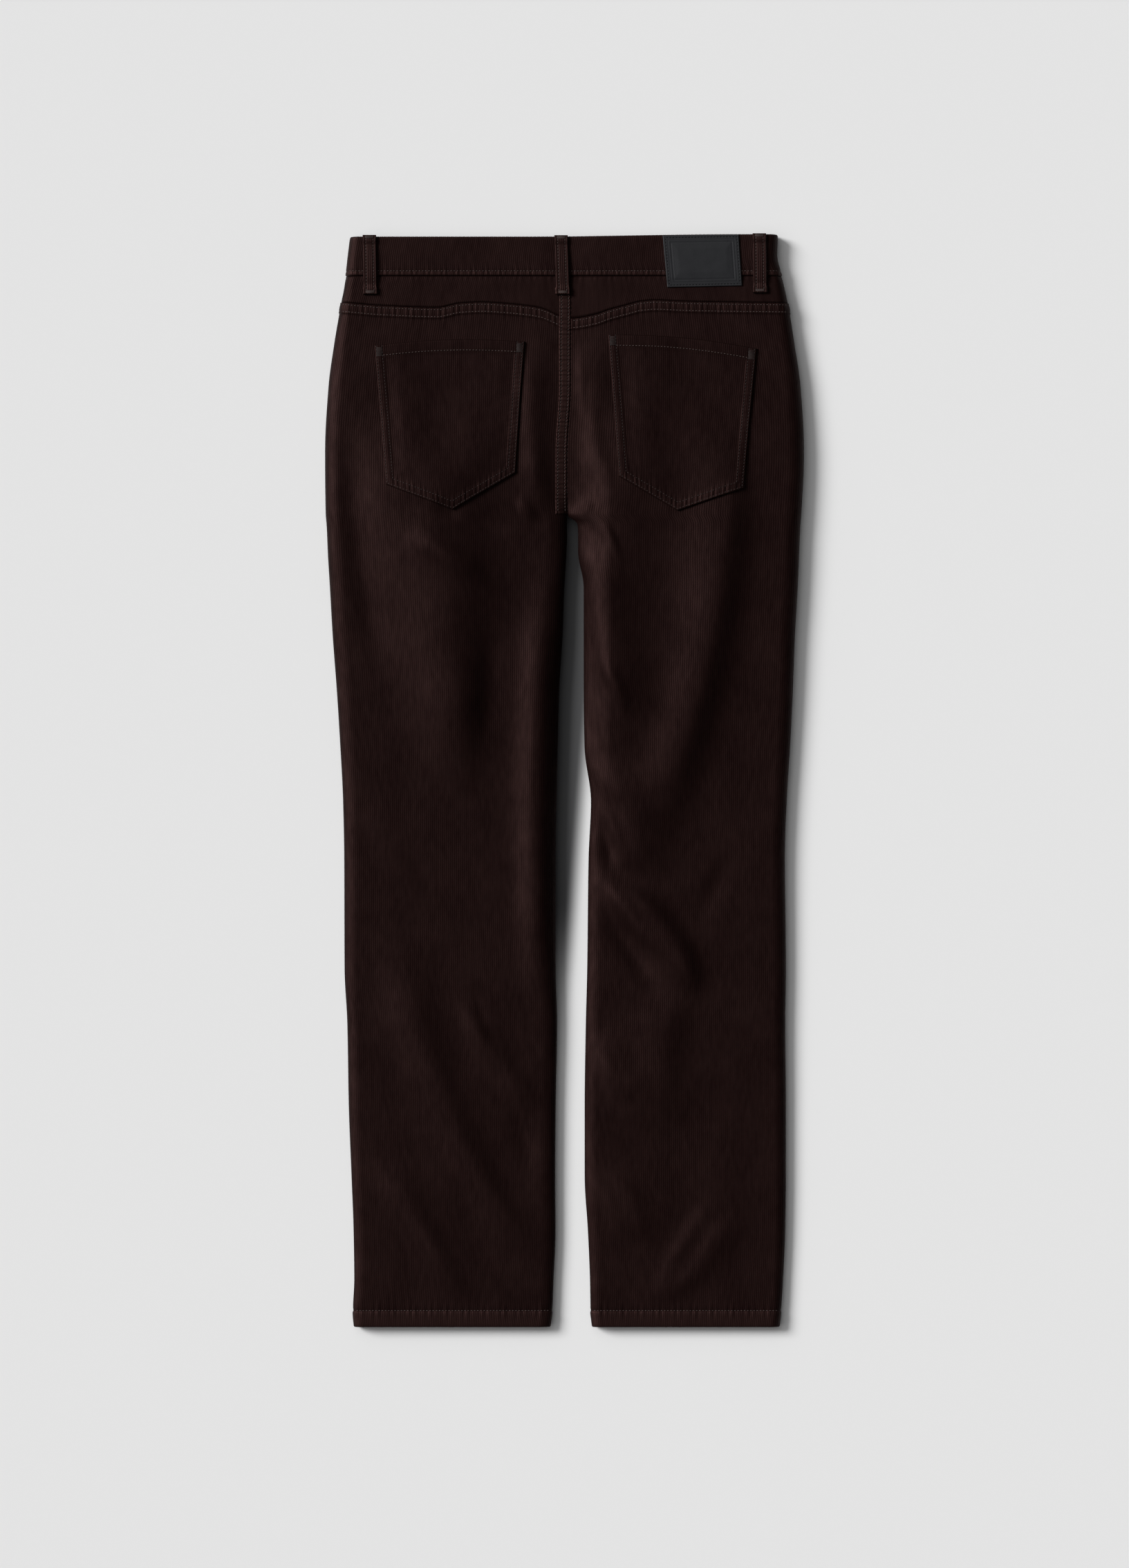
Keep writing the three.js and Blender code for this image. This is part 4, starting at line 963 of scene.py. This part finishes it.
def loop_lift(run, u):
    """A loop's thickness, doubled at its folded ends, with rounded sides and two sewn channels."""
    end = np.minimum(run, LOOP_LENGTH - run)
    folded = LOOP_FOLD * (1 - smooth((end - LOOP_FOLD_LENGTH + 1) / 1.6))
    rows = sum(np.exp(-(((u - row) * LOOP_WIDTH / 0.8) ** 2)) for row in (-0.27, 0.27))
    tack = 0.3 * np.exp(-(((end - 2.5) / 1.3) ** 2))
    side = edge_round((0.5 - np.abs(u)) * LOOP_WIDTH, 0.9) + edge_round(end, 1.2)
    return LOOP_CLOTH + folded - 0.25 * rows - tack - side


def loop_place(x_at, top, run, u):
    """x and down of a point of a loop: run goes along it, and u across it from -0.5 to 0.5."""
    wider = 1 + 0.07 * smooth((run - LOOP_LENGTH + LOOP_FOLD_LENGTH) / 2)
    return x_at(run / LOOP_LENGTH) + LOOP_WIDTH * wider * u, top + run + 0 * u


def loop_ribs(u):
    """The loop's own wales, as level waves."""
    return 0.5 * WALE_HEIGHT * (1 - np.cos(math.tau * LOOP_WALES * (u + 0.5)))


def loop_piece(name, x_at, top, height, outward):
    """A belt loop's shell; x_at gives its middle line, and height its underside."""
    ends = np.array([0, 0.15, 0.45, 0.9])
    run = np.concatenate([ends, np.linspace(1.5, LOOP_LENGTH - 1.5, 38), LOOP_LENGTH - ends[::-1]])[:, None]
    u = np.linspace(-0.5, 0.5, 3 * FAN + 1)[None, :]
    x, down = loop_place(x_at, top, run, u)
    grid = place(x, down, height(x, down, run))
    body = loop_lift(run, u)
    # The loops are painted lighter: wear, and partly a painted highlight on the raised strips.
    if outward is UP:
        return shell(name, grid, body + loop_ribs(u), 0, UP, wear_and_highlight=0.35)
    return shell(name, grid, loop_ribs(u) - WALE_HEIGHT, body, DOWN, wear_and_highlight=0.2)


def loop_arch(run):
    """How far the loop stands off the waistband between its two ends."""
    return LOOP_ARCH * np.sin(math.pi * run / LOOP_LENGTH) ** 2


def loop_height(x, down, run):
    """The underside of a back loop."""
    return dressed_height(x, down) + LAID_GAP + loop_arch(run)


def loop_line(first, last):
    """x of a loop's middle line by the share of its length."""
    return lambda t: mix(first, last, t)


for name, (first, last, top) in BACK_LOOPS.items():
    made = loop_piece(f"loop_back_{name}_cloth", loop_line(first, last), top, loop_height, UP)
    finished(f"loop_back_{name}", made, CORDUROY)
    print(made.name, len(made.data.polygons), "faces")
for name, side in (("left", -1), ("right", 1)):
    line = loop_line(side * FRONT_LOOP_X, side * FRONT_LOOP_X)
    made = loop_piece(f"loop_front_{name}_cloth", line, FRONT_LOOP_TOP, lambda x, down, run: 0 * x, DOWN)
    finished(f"loop_front_{name}", made, CORDUROY)

# %% [markdown]
# The patch is a piece of dark leather, sewn round its edge. Two grooves are pressed into it as a frame,
# and inside the frame it is smooth, bare and a little puffed up.

# %% Leather patch
PATCH = np.array([(99, 1.3), (175.8, 0.2), (179.3, 52), (103.8, 53.6)])  # x and down, from the top left
PATCH_LEATHER = 1.3
PATCH_GROOVES = ((4.6, 0.4, 0.28), (7.4, 0.55, 0.3))  # from the edge, half width, depth
PATCH_SEWN = 2.2


def patch_place(u, v):
    """x and down of a point of the patch, from the shares across and down it."""
    u, v = np.broadcast_arrays(u, v)
    spot = mix(mix(PATCH[0], PATCH[1], u[..., None]), mix(PATCH[3], PATCH[2], u[..., None]), v[..., None])
    return spot[..., 0], spot[..., 1]


def patch_edge(u, v):
    """The distance from the patch's edge."""
    width, height = PATCH[1][0] - PATCH[0][0], PATCH[3][1] - PATCH[0][1]
    return np.minimum(np.minimum(u, 1 - u) * width, np.minimum(v, 1 - v) * height)


def patch_lift(u, v):
    """The leather's face over the waistband: grooves, a channel for the thread, and a puffed middle."""
    edge = patch_edge(u, v)
    pressed = sum(deep * np.exp(-(((edge - at) / half) ** 2)) for at, half, deep in PATCH_GROOVES)
    sewn = 0.2 * np.exp(-(((edge - PATCH_SEWN) / 0.6) ** 2))
    return LAID_GAP + PATCH_LEATHER - pressed - sewn + 0.35 * smooth((edge - 8) / 7) - edge_round(edge, 0.7)


leather, tree, shader = material_nodes("charcoal_leather")
on_patch = node(tree, "ShaderNodeUVMap", uv_map="Cloth").outputs[0]
grain = node(tree, "ShaderNodeTexVoronoi", [("Vector", on_patch), ("Scale", 1100.0)], feature="SMOOTH_F1")
cloudy = noise(tree, on_patch, (90, 90))
colour = node(tree, "ShaderNodeMix", [("Factor", cloudy)], data_type="RGBA")
colour.inputs["A"].default_value = (0.0105, 0.0108, 0.0126, 1)
colour.inputs["B"].default_value = (0.0175, 0.0178, 0.0200, 1)
tree.links.new(colour.outputs["Result"], shader.inputs["Base Color"])
inputs = [("Height", grain.outputs["Distance"]), ("Strength", 0.25), ("Distance", 0.0002)]
bump = node(tree, "ShaderNodeBump", inputs)
tree.links.new(bump.outputs[0], shader.inputs["Normal"])
shader.inputs["Roughness"].default_value = 0.5
shader.inputs["Specular IOR Level"].default_value = 0.35

rim = np.array([0, 0.0015, 0.005, 0.01, 0.016])
v = np.concatenate([rim, np.linspace(0.024, 0.976, 70), 1 - rim[::-1]])[:, None]
u = np.concatenate([rim, np.linspace(0.02, 0.98, 10 * FAN + 1 - 2 * len(rim)), 1 - rim[::-1]])[None, :]
x, down = patch_place(u, v)
grid = place(x, down, dressed_height(x, down))
made = shell("waist_patch_leather", grid, patch_lift(u, v), -LAID_GAP, UP)
finished("waist_patch", made, leather)
print(made.name, len(made.data.polygons), "faces")

# %% [markdown]
# ## The centre back seam
#
# The seam between the two backs is felled: its folded allowance lies to the left as a raised band. Its
# wales were cut on the slant, so they meet along its middle in chevrons. It is the most rubbed part,
# and its lighter colour is partly a painted highlight on the raised band.

# %% Centre band
first = [WAISTBAND_DEPTH + 0.2, WAISTBAND_DEPTH + 0.6]
rows = np.concatenate([first, np.arange(43.2, CROTCH - 1, 0.8), [CROTCH - 0.5, CROTCH]])
down = rows[:, None]
u = np.linspace(0, 1, 2 * FAN + 1)[None, :]
x = section["seam_left"](down) - SEAM_GAP / 2 - BAND_WIDTH * (1 - u)
grid = place(x, down, top_height(x, down, -1))
across = BAND_WIDTH * np.minimum(u, 1 - u)
chevrons = ribs_across(0.8 * down - 0.62 * across)
over_yoke = band_lift(down - yoke_seam(x)) * (down < YOKE_LEVEL + 40)
rows = sum(np.exp(-(((BAND_WIDTH * u - row) / 0.8) ** 2)) for row in (2.3, 9.4))
pucker = 0.3 * ripple(down, 5.2, 0.4)
lift = BAND_RISE + 0.7 * np.maximum(over_yoke, 0) + 0.8 * chevrons + pucker - 0.35 * rows
ends = np.minimum(down - WAISTBAND_DEPTH, CROTCH - down)
lift = lift - edge_round(np.minimum(across, ends), 0.9)
# The centre band is painted lightest: wear, and partly a painted highlight on the raised band.
centre_band = shell("centre_band_cloth", grid, lift, -0.05, UP, wear_and_highlight=0.5)
centre_band.data.materials.append(CORDUROY)
print(centre_band.name, len(centre_band.data.polygons), "faces")

# %% [markdown]
# ## The sewing
#
# A stitch is a small spindle of thread whose ends dip into the cloth. Each row is a line over a piece's
# face, and its stitches follow that line's direction and the face's slope. The thread matches the cloth
# and is a little lighter, so the rows read as dotted lines.

# %% Thread
STITCH, STITCH_STEP, THREAD = 2.3, 3.2, 0.4  # a stitch's length, from one to the next, and its radius
THREAD_SIDES = 5


def spindle():
    """A stitch of length and radius 1: two dipped tips with three rings of points between them."""
    turn = np.arange(THREAD_SIDES) * math.tau / THREAD_SIDES
    rings = []
    for at, size in ((-0.36, 0.8), (0, 1), (0.36, 0.8)):
        rings.append(np.stack([0 * turn + at, size * np.cos(turn), size * np.sin(turn)], -1))
    points = np.concatenate([[(-0.5, 0, -0.7)], *rings, [(0.5, 0, -0.7)]])
    this = 1 + np.arange(THREAD_SIDES)
    then = 1 + (np.arange(THREAD_SIDES) + 1) % THREAD_SIDES
    faces = [np.stack([0 * this, then, this], -1)]
    for ring in (0, THREAD_SIDES):
        faces.append(np.stack([this + ring, then + ring, then + ring + THREAD_SIDES], -1))
        faces.append(np.stack([this + ring, then + ring + THREAD_SIDES, this + ring + THREAD_SIDES], -1))
    last = 2 * THREAD_SIDES
    faces.append(np.stack([this + last, then + last, 0 * this + len(points) - 1], -1))
    return points, np.concatenate(faces)


def over(height, x, down, lift):
    """Points that stand lift off a face, and the face's normals, which come from its slopes."""
    x, down, lift = np.broadcast_arrays(np.asarray(x, float), down, lift)
    across = height(x + 0.4, down) - height(x - 0.4, down)
    along = height(x, down + 0.4) - height(x, down - 0.4)
    normal = np.stack([-across, along, 0 * along + 0.8], axis=-1)
    normal /= np.linalg.norm(normal, axis=-1, keepdims=True)
    return place(x, down, height(x, down)) + normal * lift[..., None], normal


def unit(vectors):
    """The vectors at length 1."""
    return vectors / np.linalg.norm(vectors, axis=-1, keepdims=True)


def sew(name, rows, material, step=STITCH_STEP, length=STITCH):
    """One mesh of the stitches along all the rows; a row is its points and their normals."""
    at, ahead, up = [], [], []
    for points, normals in rows:
        run = np.concatenate([[0], np.cumsum(np.linalg.norm(np.diff(points, axis=0), axis=-1))])
        count = max(round(run[-1] / step), 1)
        middle = (np.arange(count) + 0.5) * run[-1] / count
        pick = lambda values, where: np.stack([np.interp(where, run, values[:, k]) for k in range(3)], -1)
        at.append(pick(points, middle))
        ahead.append(pick(points, middle + 0.4) - pick(points, middle - 0.4))
        up.append(pick(normals, middle))
    at, ahead, up = (np.concatenate(values)[:, None] for values in (at, ahead, up))
    ahead = unit(ahead)
    across = unit(np.cross(up, ahead))
    up = np.cross(ahead, across)
    shape, faces = spindle()
    points = at + length * shape[:, :1] * ahead + THREAD * (shape[:, 1:2] * across + shape[:, 2:] * up)
    faces = faces + len(shape) * np.arange(len(at))[:, None, None]
    made = make_mesh(name, points.reshape(-1, 3), (), faces.reshape(-1, 3))
    made.data.materials.append(material)
    return made


def thread_material(name, colour):
    """Thread of one colour, a little uneven from stitch to stitch."""
    material, tree, shader = material_nodes(name)
    where = node(tree, "ShaderNodeTexCoord").outputs["Object"]
    uneven = noise(tree, where, (160, 160), 1.0)
    mixed = node(tree, "ShaderNodeMix", [("Factor", uneven)], data_type="RGBA")
    mixed.inputs["A"].default_value = (*(0.4 * c for c in colour), 1)
    mixed.inputs["B"].default_value = (*(1.5 * c for c in colour), 1)
    tree.links.new(mixed.outputs["Result"], shader.inputs["Base Color"])
    shader.inputs["Roughness"].default_value = 0.6
    shader.inputs["Specular IOR Level"].default_value = 0.3
    return material


THREAD_BROWN = thread_material("brown_thread", (0.050, 0.034, 0.031))
THREAD_SOFT = thread_material("dull_brown_thread", (0.020, 0.012, 0.011))
THREAD_DARK = thread_material("black_thread", (0.0035, 0.0035, 0.005))

# %% [markdown]
# The rows follow the seams. The yoke's band has two rows, and so have the pockets, the belt loops and
# the front pockets' mouths; the waistband and the hems have one. Short satin bars hold the corners.

# %% Rows of stitches
sewn = {name: [] for name in pieces}
mouths = {}
bars = {name: [] for name in pieces}


def side_height(height, side):
    """That face's height for one half of the garment, as a function of x and down."""
    return lambda x, down: height(x, down, side)


def line_of(first, last, count=200):
    """Evenly spaced points from first to last."""
    return np.linspace(first, last, count)


def inset_path(corners, inset):
    """The line inside an open run of corners, at that distance from each of its straight sides."""
    corners = np.array(corners, float)
    along = unit(np.diff(corners, axis=0))
    inward = np.stack([-along[:, 1], along[:, 0]], axis=-1)
    inward *= np.sign(((corners.mean(axis=0) - corners[:-1]) * inward).sum(axis=-1, keepdims=True))
    start = corners[:-1] + inset * inward
    path = [start[0]]
    for k in range(len(along) - 1):
        step = np.linalg.solve(np.stack([along[k], -along[k + 1]], axis=1), start[k + 1] - start[k])
        path.append(start[k] + step[0] * along[k])
    path.append(corners[-1] + inset * inward[-1])
    return np.concatenate([np.linspace(a, b, 60) for a, b in zip(path[:-1], path[1:])])


def bar(height, x, down, width, tall, lift, step=0.62):
    """A bar tack: satin threads of that width across, laid close together down its height."""
    for each in np.arange(-tall / 2, tall / 2 + 0.01, step):
        yield over(height, line_of(x - width / 2, x + width / 2, 5), down + each, lift)


on_rib = WALE_HEIGHT * 0.9
for name, side in (("left", -1), ("right", 1)):
    upper, lower = side_height(top_height, side), side_height(bottom_height, side)
    back, front, pocket = f"back_{name}", f"front_{name}", f"back_pocket_{name}"
    seam = float(section["seam_left"](YOKE_LEVEL + 8))
    last = seam - BAND_WIDTH - 1 if side < 0 else seam + 2
    x = line_of(float(outer_edge(side, YOKE_LEVEL)) - 2 * side, last, 500)
    for row in (2.2, 9.3):
        sewn[back].append(over(upper, x, yoke_seam(x) + row, BAND_RISE - 0.3 + on_rib))
    hem = LENGTH - HEM_DEPTH - 0.8
    x = line_of(float(outer_edge(side, hem)) - 3 * side, float(inner_edge(side, hem)) + 3 * side, 400)
    sewn[back].append(over(upper, x, hem, on_rib - 0.3))
    sewn[front].append(over(lower, x, hem, 0.3))

    (outer_top, inner_top), (outer, inner), tip = POCKETS[side].values()
    on_pocket = POCKET_GAP + CLOTH + POCKET_RIM_RISE - 0.25 + on_rib
    for inset in POCKET_STITCHES:
        path = inset_path([outer_top, outer, tip, inner, inner_top], inset)
        sewn[pocket].append(over(upper, path[:, 0], path[:, 1], on_pocket))
    u = line_of(0.05, 0.95)
    v = (POCKET_HEM - 1.2) / (pocket_place(side, u, 1)[1] - pocket_place(side, u, 0)[1])
    mouths[pocket] = [over(upper, *pocket_place(side, u, v), pocket_lift(side, u, v) + on_rib + 0.3)]
    for corner, turn in ((outer_top, side), (inner_top, -side)):
        bars[pocket] += bar(upper, corner[0] - turn * 5.2, corner[1] + 6.5, 7.5, 8.4, on_pocket + 0.1, 0.75)

    down = line_of(WAISTBAND_DEPTH + 1, WAISTBAND_DEPTH + MOUTH_DEPTH - 1, 300)
    for row in (2, 7.5):
        inward = np.maximum(scoop_width(down - row * 0.8) + row * 0.6, section["round"](down) * UNDER_ROUND)
        sewn[front].append(over(lower, outer_edge(side, down) - side * inward, down, 0.28))

# The fly's two rows run down beside its edge and curve in to the centre seam
turn = line_of(0, math.pi / 2, 120)
for inset in (30, 35):
    straight = line_of(WAISTBAND_DEPTH + 1, 140, 120)
    curve = 140 + (FLY_BOTTOM + 3 - 140) * np.sin(turn) * inset / 35
    edge = section["seam_left"](straight) + FLY_OVERLAP - inset
    bend = section["seam_left"](curve) - 1 - (inset - FLY_OVERLAP - 1) * np.cos(turn)
    path = np.concatenate([edge, bend]), np.concatenate([straight, curve])
    sewn["front_left"].append(over(side_height(bottom_height, -1), *path, 0.28))

seam_row = 37
for side in (-1, 1):
    x = line_of(float(outer_edge(side, seam_row)) - 3 * side, float(inner_edge(side, seam_row)), 500)
    rise = WAISTBAND_PROUD - 0.3 + on_rib
    sewn["waistband"].append(over(side_height(top_height, side), x, seam_row, rise))
x = line_of(float(section["left"](seam_row)) + 4, float(section["seam_left"](seam_row)) + TAB_OVER - 2, 500)
sewn["waistband"].append(over(side_height(bottom_height, -1), x, seam_row, 0.3))
first = float(section["seam_left"](seam_row)) + TAB_OVER + TAB_RAMP
x = line_of(first, float(section["right"](seam_row)) - 4, 500)
sewn["waistband"].append(over(side_height(bottom_height, 1), x, seam_row, 0.3))

for name, (first, last, top) in BACK_LOOPS.items():
    line, piece = loop_line(first, last), f"loop_back_{name}"
    base = lambda x, down: loop_height(x, down, down - top)
    run = line_of(3.5, LOOP_LENGTH - 3)
    for u in (-0.27, 0.27):
        x, down = loop_place(line, top, run, u)
        sewn[piece].append(over(base, x, down, loop_lift(run, u) + 0.24))
    for run in (2.2, LOOP_LENGTH - 2.6):
        x, down = loop_place(line, top, np.array(run), 0)
        bars[piece] += bar(base, float(x), float(down), 10.5, 1.9, LOOP_CLOTH + LOOP_FOLD - 0.1)
for name, side in (("left", -1), ("right", 1)):
    run = line_of(3, LOOP_LENGTH - 3)
    for u in (-0.27, 0.27):
        x = side * FRONT_LOOP_X + LOOP_WIDTH * u
        sewn[f"loop_front_{name}"].append(over(lambda x, down: 0 * x, x, FRONT_LOOP_TOP + run, 0.3))

frame_uv = inset_path([(0, 0), (1, 0), (1, 1), (0, 1), (0, 0)], 0)
u, v = (0.5 + (frame_uv - 0.5) * (1 - 2 * PATCH_SEWN / np.array([76.8, 51.8]))).T
x, down = patch_place(u, v)
sewn["waist_patch"].append(over(dressed_height, x, down, LAID_GAP + PATCH_LEATHER - 0.05))
band_rows = []
for row in (2.3, 9.4):
    down = line_of(WAISTBAND_DEPTH + 2, CROTCH - 3, 500)
    x = section["seam_left"](down) - SEAM_GAP / 2 - BAND_WIDTH + row
    rise = BAND_RISE + 0.7 * np.maximum(band_lift(down - yoke_seam(x)) * (down < YOKE_LEVEL + 40), 0)
    band_rows.append(over(side_height(top_height, -1), x, down, rise + 0.15))
sewn["back_left"] += band_rows

threads = {}
for name in pieces:
    thread = THREAD_DARK if name == "waist_patch" else THREAD_SOFT if name in mouths else THREAD_BROWN
    threads[name] = [sew(f"{name}_stitches", sewn[name], thread)] if sewn[name] else []
    if name in mouths:
        threads[name].append(sew(f"{name}_mouth_stitches", mouths[name], THREAD_BROWN))
    if bars[name]:
        width = 7.5 if "pocket" in name else 10.5
        threads[name].append(sew(f"{name}_bars", bars[name], thread, step=50, length=width))
print("stitch meshes:", sum(map(len, threads.values())))

# %% [markdown]
# ## The zip and the button
#
# Both lie at the centre front, which is underneath here. The zip is closed: two rows of teeth that lock
# into each other on a cloth tape. The button is a domed, brushed metal head with its face down.

# %% Zip and button
ZIP_TOP, ZIP_BOTTOM, ZIP_HALF, ZIP_TAPE = 47, 168, 12, 1
TOOTH_STEP, TOOTH_LONG, TOOTH_WIDE, TOOTH_TALL = 1.7, 0.95, 3.4, 1.5


def blocks(name, centres, sizes):
    """Boxes at the centres, all in one mesh; sizes are their lengths along x, y and z."""
    corner = np.array([(x, y, z) for x in (-0.5, 0.5) for y in (-0.5, 0.5) for z in (-0.5, 0.5)])
    faces = np.array([(0, 1, 3, 2), (4, 6, 7, 5), (0, 4, 5, 1), (2, 3, 7, 6), (0, 2, 6, 4), (1, 5, 7, 3)])
    sizes = np.broadcast_to(sizes, (len(centres), 3))
    points = np.asarray(centres)[:, None] + corner * sizes[:, None]
    quads = faces + 8 * np.arange(len(centres))[:, None, None]
    made = make_mesh(name, points.reshape(-1, 3), quads.reshape(-1, 4))
    made.data.polygons.foreach_set("use_smooth", np.zeros(len(made.data.polygons), bool))
    return made


metal, tree, shader = material_nodes("dark_brushed_metal")
where = node(tree, "ShaderNodeTexCoord").outputs["Object"]
scratch = noise(tree, where, (5000, 300), 2.0)
rough = node(tree, "ShaderNodeMapRange", [("Value", scratch), ("To Min", 0.28), ("To Max", 0.45)])
tree.links.new(rough.outputs[0], shader.inputs["Roughness"])
shader.inputs["Base Color"].default_value = (0.16, 0.145, 0.13, 1)
shader.inputs["Metallic"].default_value = 1.0

zip_level = 2 * (CLOTH + SEAM_GAP) + 0.8
rows = np.linspace(ZIP_TOP, ZIP_BOTTOM, 40)[:, None]
x = section["seam_left"](rows) + ZIP_HALF * np.linspace(-1, 1, FAN + 1)[None, :]
grid = place(x, rows, zip_level + floor_lift(x, rows))
tape = shell("zip_tape", grid, 0, ZIP_TAPE, DOWN)
tape.data.materials.append(CORDUROY)
down = np.arange(ZIP_TOP + 2, ZIP_BOTTOM - 2, TOOTH_STEP)
x = section["seam_left"](down) + np.where(np.arange(len(down)) % 2, 0.55, -0.55)
teeth = place(x, down, zip_level + ZIP_TAPE + TOOTH_TALL / 2 - 0.35 + floor_lift(x, down))
chain = blocks("zip_teeth", teeth, (TOOTH_WIDE, TOOTH_LONG, TOOTH_TALL))
finished("fly_zip", chain, metal)

profile = [(0, 0.35), (4.2, 0.3), (5.2, 0.02), (6.4, 0), (7.6, 0.28)]  # radius and height, face down
profile = np.array(profile + [(8.3, 0.9), (8.5, 1.5), (8.1, 2.1), (6.5, 2.4), (0, 2.5)])
turns = np.arange(48) * math.tau / 48
ring = profile[1:-1]
x = BUTTON_X + ring[:, :1] * np.cos(turns)
down = BUTTON_DOWN - ring[:, :1] * np.sin(turns)
points = place(x, down, ring[:, 1:])
index = np.arange(points.shape[0] * 48).reshape(-1, 48)
index = np.concatenate([index, index[:, :1]], axis=1)
ends = place(np.array([BUTTON_X] * 2), np.array([BUTTON_DOWN] * 2), profile[[0, -1], 1])
count = points.shape[0] * 48
face = np.stack([index[0, 1:], index[0, :-1], np.full(48, count)], -1)
back = np.stack([index[-1, :-1], index[-1, 1:], np.full(48, count + 1)], -1)
points = np.concatenate([points.reshape(-1, 3), ends])
button = make_mesh("waist_button_head", points, quads_of(index, True), np.concatenate([face, back]))
finished("waist_button", button, metal)
print("zip teeth:", len(teeth), "and a button of", len(button.data.polygons), "faces")

# %% [markdown]
# ## What rides, what rests, and how each piece was cut
#
# All is one body. Each cloth piece is a sheet that lies on the one below it, with its own flat cut, and
# its thread goes with it.

# %% What rests on what, and each piece's cut
RESTS_ON = {
    "back_left": ["front_left"], "back_right": ["front_right"], "yoke_left": ["front_left"],
    "yoke_right": ["front_right"], "back_pocket_left": ["back_left"], "back_pocket_right": ["back_right"],
    "front_left": ["loop_front_left"], "front_right": ["loop_front_right"],
    "pocket_facing_left": ["front_left"], "pocket_facing_right": ["front_right"],
    "waistband": ["yoke_left", "yoke_right"], "loop_back_left": ["waistband"],
    "loop_back_centre": ["waistband"], "loop_back_right": ["waistband"],
}
extras = {"back_left": [centre_band], "waistband": [pieces["waist_patch"], *threads["waist_patch"]]}
slots = {"waist_patch": "leather", "fly_zip": "zip_metal", "waist_button": "button_metal"}
for name, piece in pieces.items():
    slots.get(name, "corduroy")
for piece in [centre_band, tape, *sum(threads.values(), [])]:
    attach(piece, "root")
for name, piece in pieces.items():
    if name in slots:
        continue
    width, length, area = cuts[piece.name]
    lies_on, area = RESTS_ON.get(name, []), min(area, width * length)
    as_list(lies_on)
    print(f"{name}: cut {width * 1000:.0f} x {length * 1000:.0f} mm, {area:.4f} m2")

# %% [markdown]
# ## The floor, the light and the camera
#
# The floor is pale and matt. In the photo the slit between the legs is much deeper in shade than such a
# floor gives, so its paint darkens there, up to a slanting line. A low window light comes from the upper
# left, a wide room light softens its shadow, and the camera looks straight down from far away.

# %% The floor, the light and the camera
PHOTO_WIDTH, PHOTO_HEIGHT = 1633, 2268  # pixels
PIXEL = 0.70 * MM
PICTURE_MIDDLE_Y = -0.0035
LENS, SENSOR = 150, 36

SHADE_SLANT, SHADE_X = 0.08, 22  # the deep shade between the legs ends along this slanting line
floor_size = 6.0
corners = np.array([(-1, -1, 0), (1, -1, 0), (1, 1, 0), (-1, 1, 0)]) * floor_size / MM
corners[:, 2] = -0.05
floor = make_mesh("pale_floor", corners, [(0, 1, 2, 3)])
paint, tree, shader = material_nodes("pale_floor_paint")
where = node(tree, "ShaderNodeSeparateXYZ", [(0, node(tree, "ShaderNodeTexCoord").outputs["Object"])])
x, y = where.outputs["X"], where.outputs["Y"]
edge = math_of(tree, "MULTIPLY_ADD", y, SHADE_SLANT, SHADE_X * MM)
shade = ranged(tree, math_of(tree, "SUBTRACT", edge, x), -0.008, 0.012, kind="SMOOTHSTEP")
low = ranged(tree, y, -0.30, -0.12, kind="SMOOTHSTEP")
inside = math_of(tree, "GREATER_THAN", x, -0.025)
high = math_of(tree, "LESS_THAN", y, 0.28)
for part in (low, inside, high):
    shade = math_of(tree, "MULTIPLY", shade, part)
paper = node(tree, "ShaderNodeMix", [("Factor", shade)], data_type="RGBA")
paper.inputs["A"].default_value = (0.8, 0.8, 0.8, 1)
paper.inputs["B"].default_value = (0.09, 0.09, 0.092, 1)
tree.links.new(paper.outputs["Result"], shader.inputs["Base Color"])
shader.inputs["Roughness"].default_value = 1.0
shader.inputs["Specular IOR Level"].default_value = 0.0
floor.data.materials.append(paint)
floor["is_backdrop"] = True

LIGHTS = [  # name, strength, size of its disc in degrees, height above the horizon, and where it stands
    ("window", 3.5, 24, 34, 155),  # azimuth: 0 at the right, 90 beyond the waist, 180 at the left
    ("room", 1.12, 90, 55, 150),
]
SKY = 0.05
for name, strength, size, elevation, azimuth in LIGHTS:
    light = bpy.data.objects.new(name, bpy.data.lights.new(name, "SUN"))
    light.data.energy = strength
    light.data.angle = math.radians(size)
    light.visible_glossy = name == "window"
    light.rotation_euler = (0, math.radians(90 - elevation), math.radians(azimuth))
    bpy.context.collection.objects.link(light)
world = bpy.data.worlds.new("studio")
world.use_nodes = True
world.node_tree.nodes["Background"].inputs["Color"].default_value = (1, 1, 1, 1)
world.node_tree.nodes["Background"].inputs["Strength"].default_value = SKY
bpy.context.scene.world = world
bpy.context.scene.view_settings.view_transform = "Standard"

camera = bpy.data.objects.new("camera", bpy.data.cameras.new("camera"))
camera.data.lens = LENS
camera.data.sensor_fit = "VERTICAL"
camera.data.sensor_height = SENSOR
camera.data.clip_end = 60
camera.location = (0, PICTURE_MIDDLE_Y, PHOTO_HEIGHT * PIXEL * LENS / SENSOR)
bpy.context.collection.objects.link(camera)
bpy.context.scene.camera = camera
print(f"camera {camera.location.z:.2f} m above the surface")

# %% The size of what was made, and the end
boxes = {"cad": cad_box, "visual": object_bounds()}
{name: [list(map(float, corner)) for corner in box] for name, box in boxes.items()}
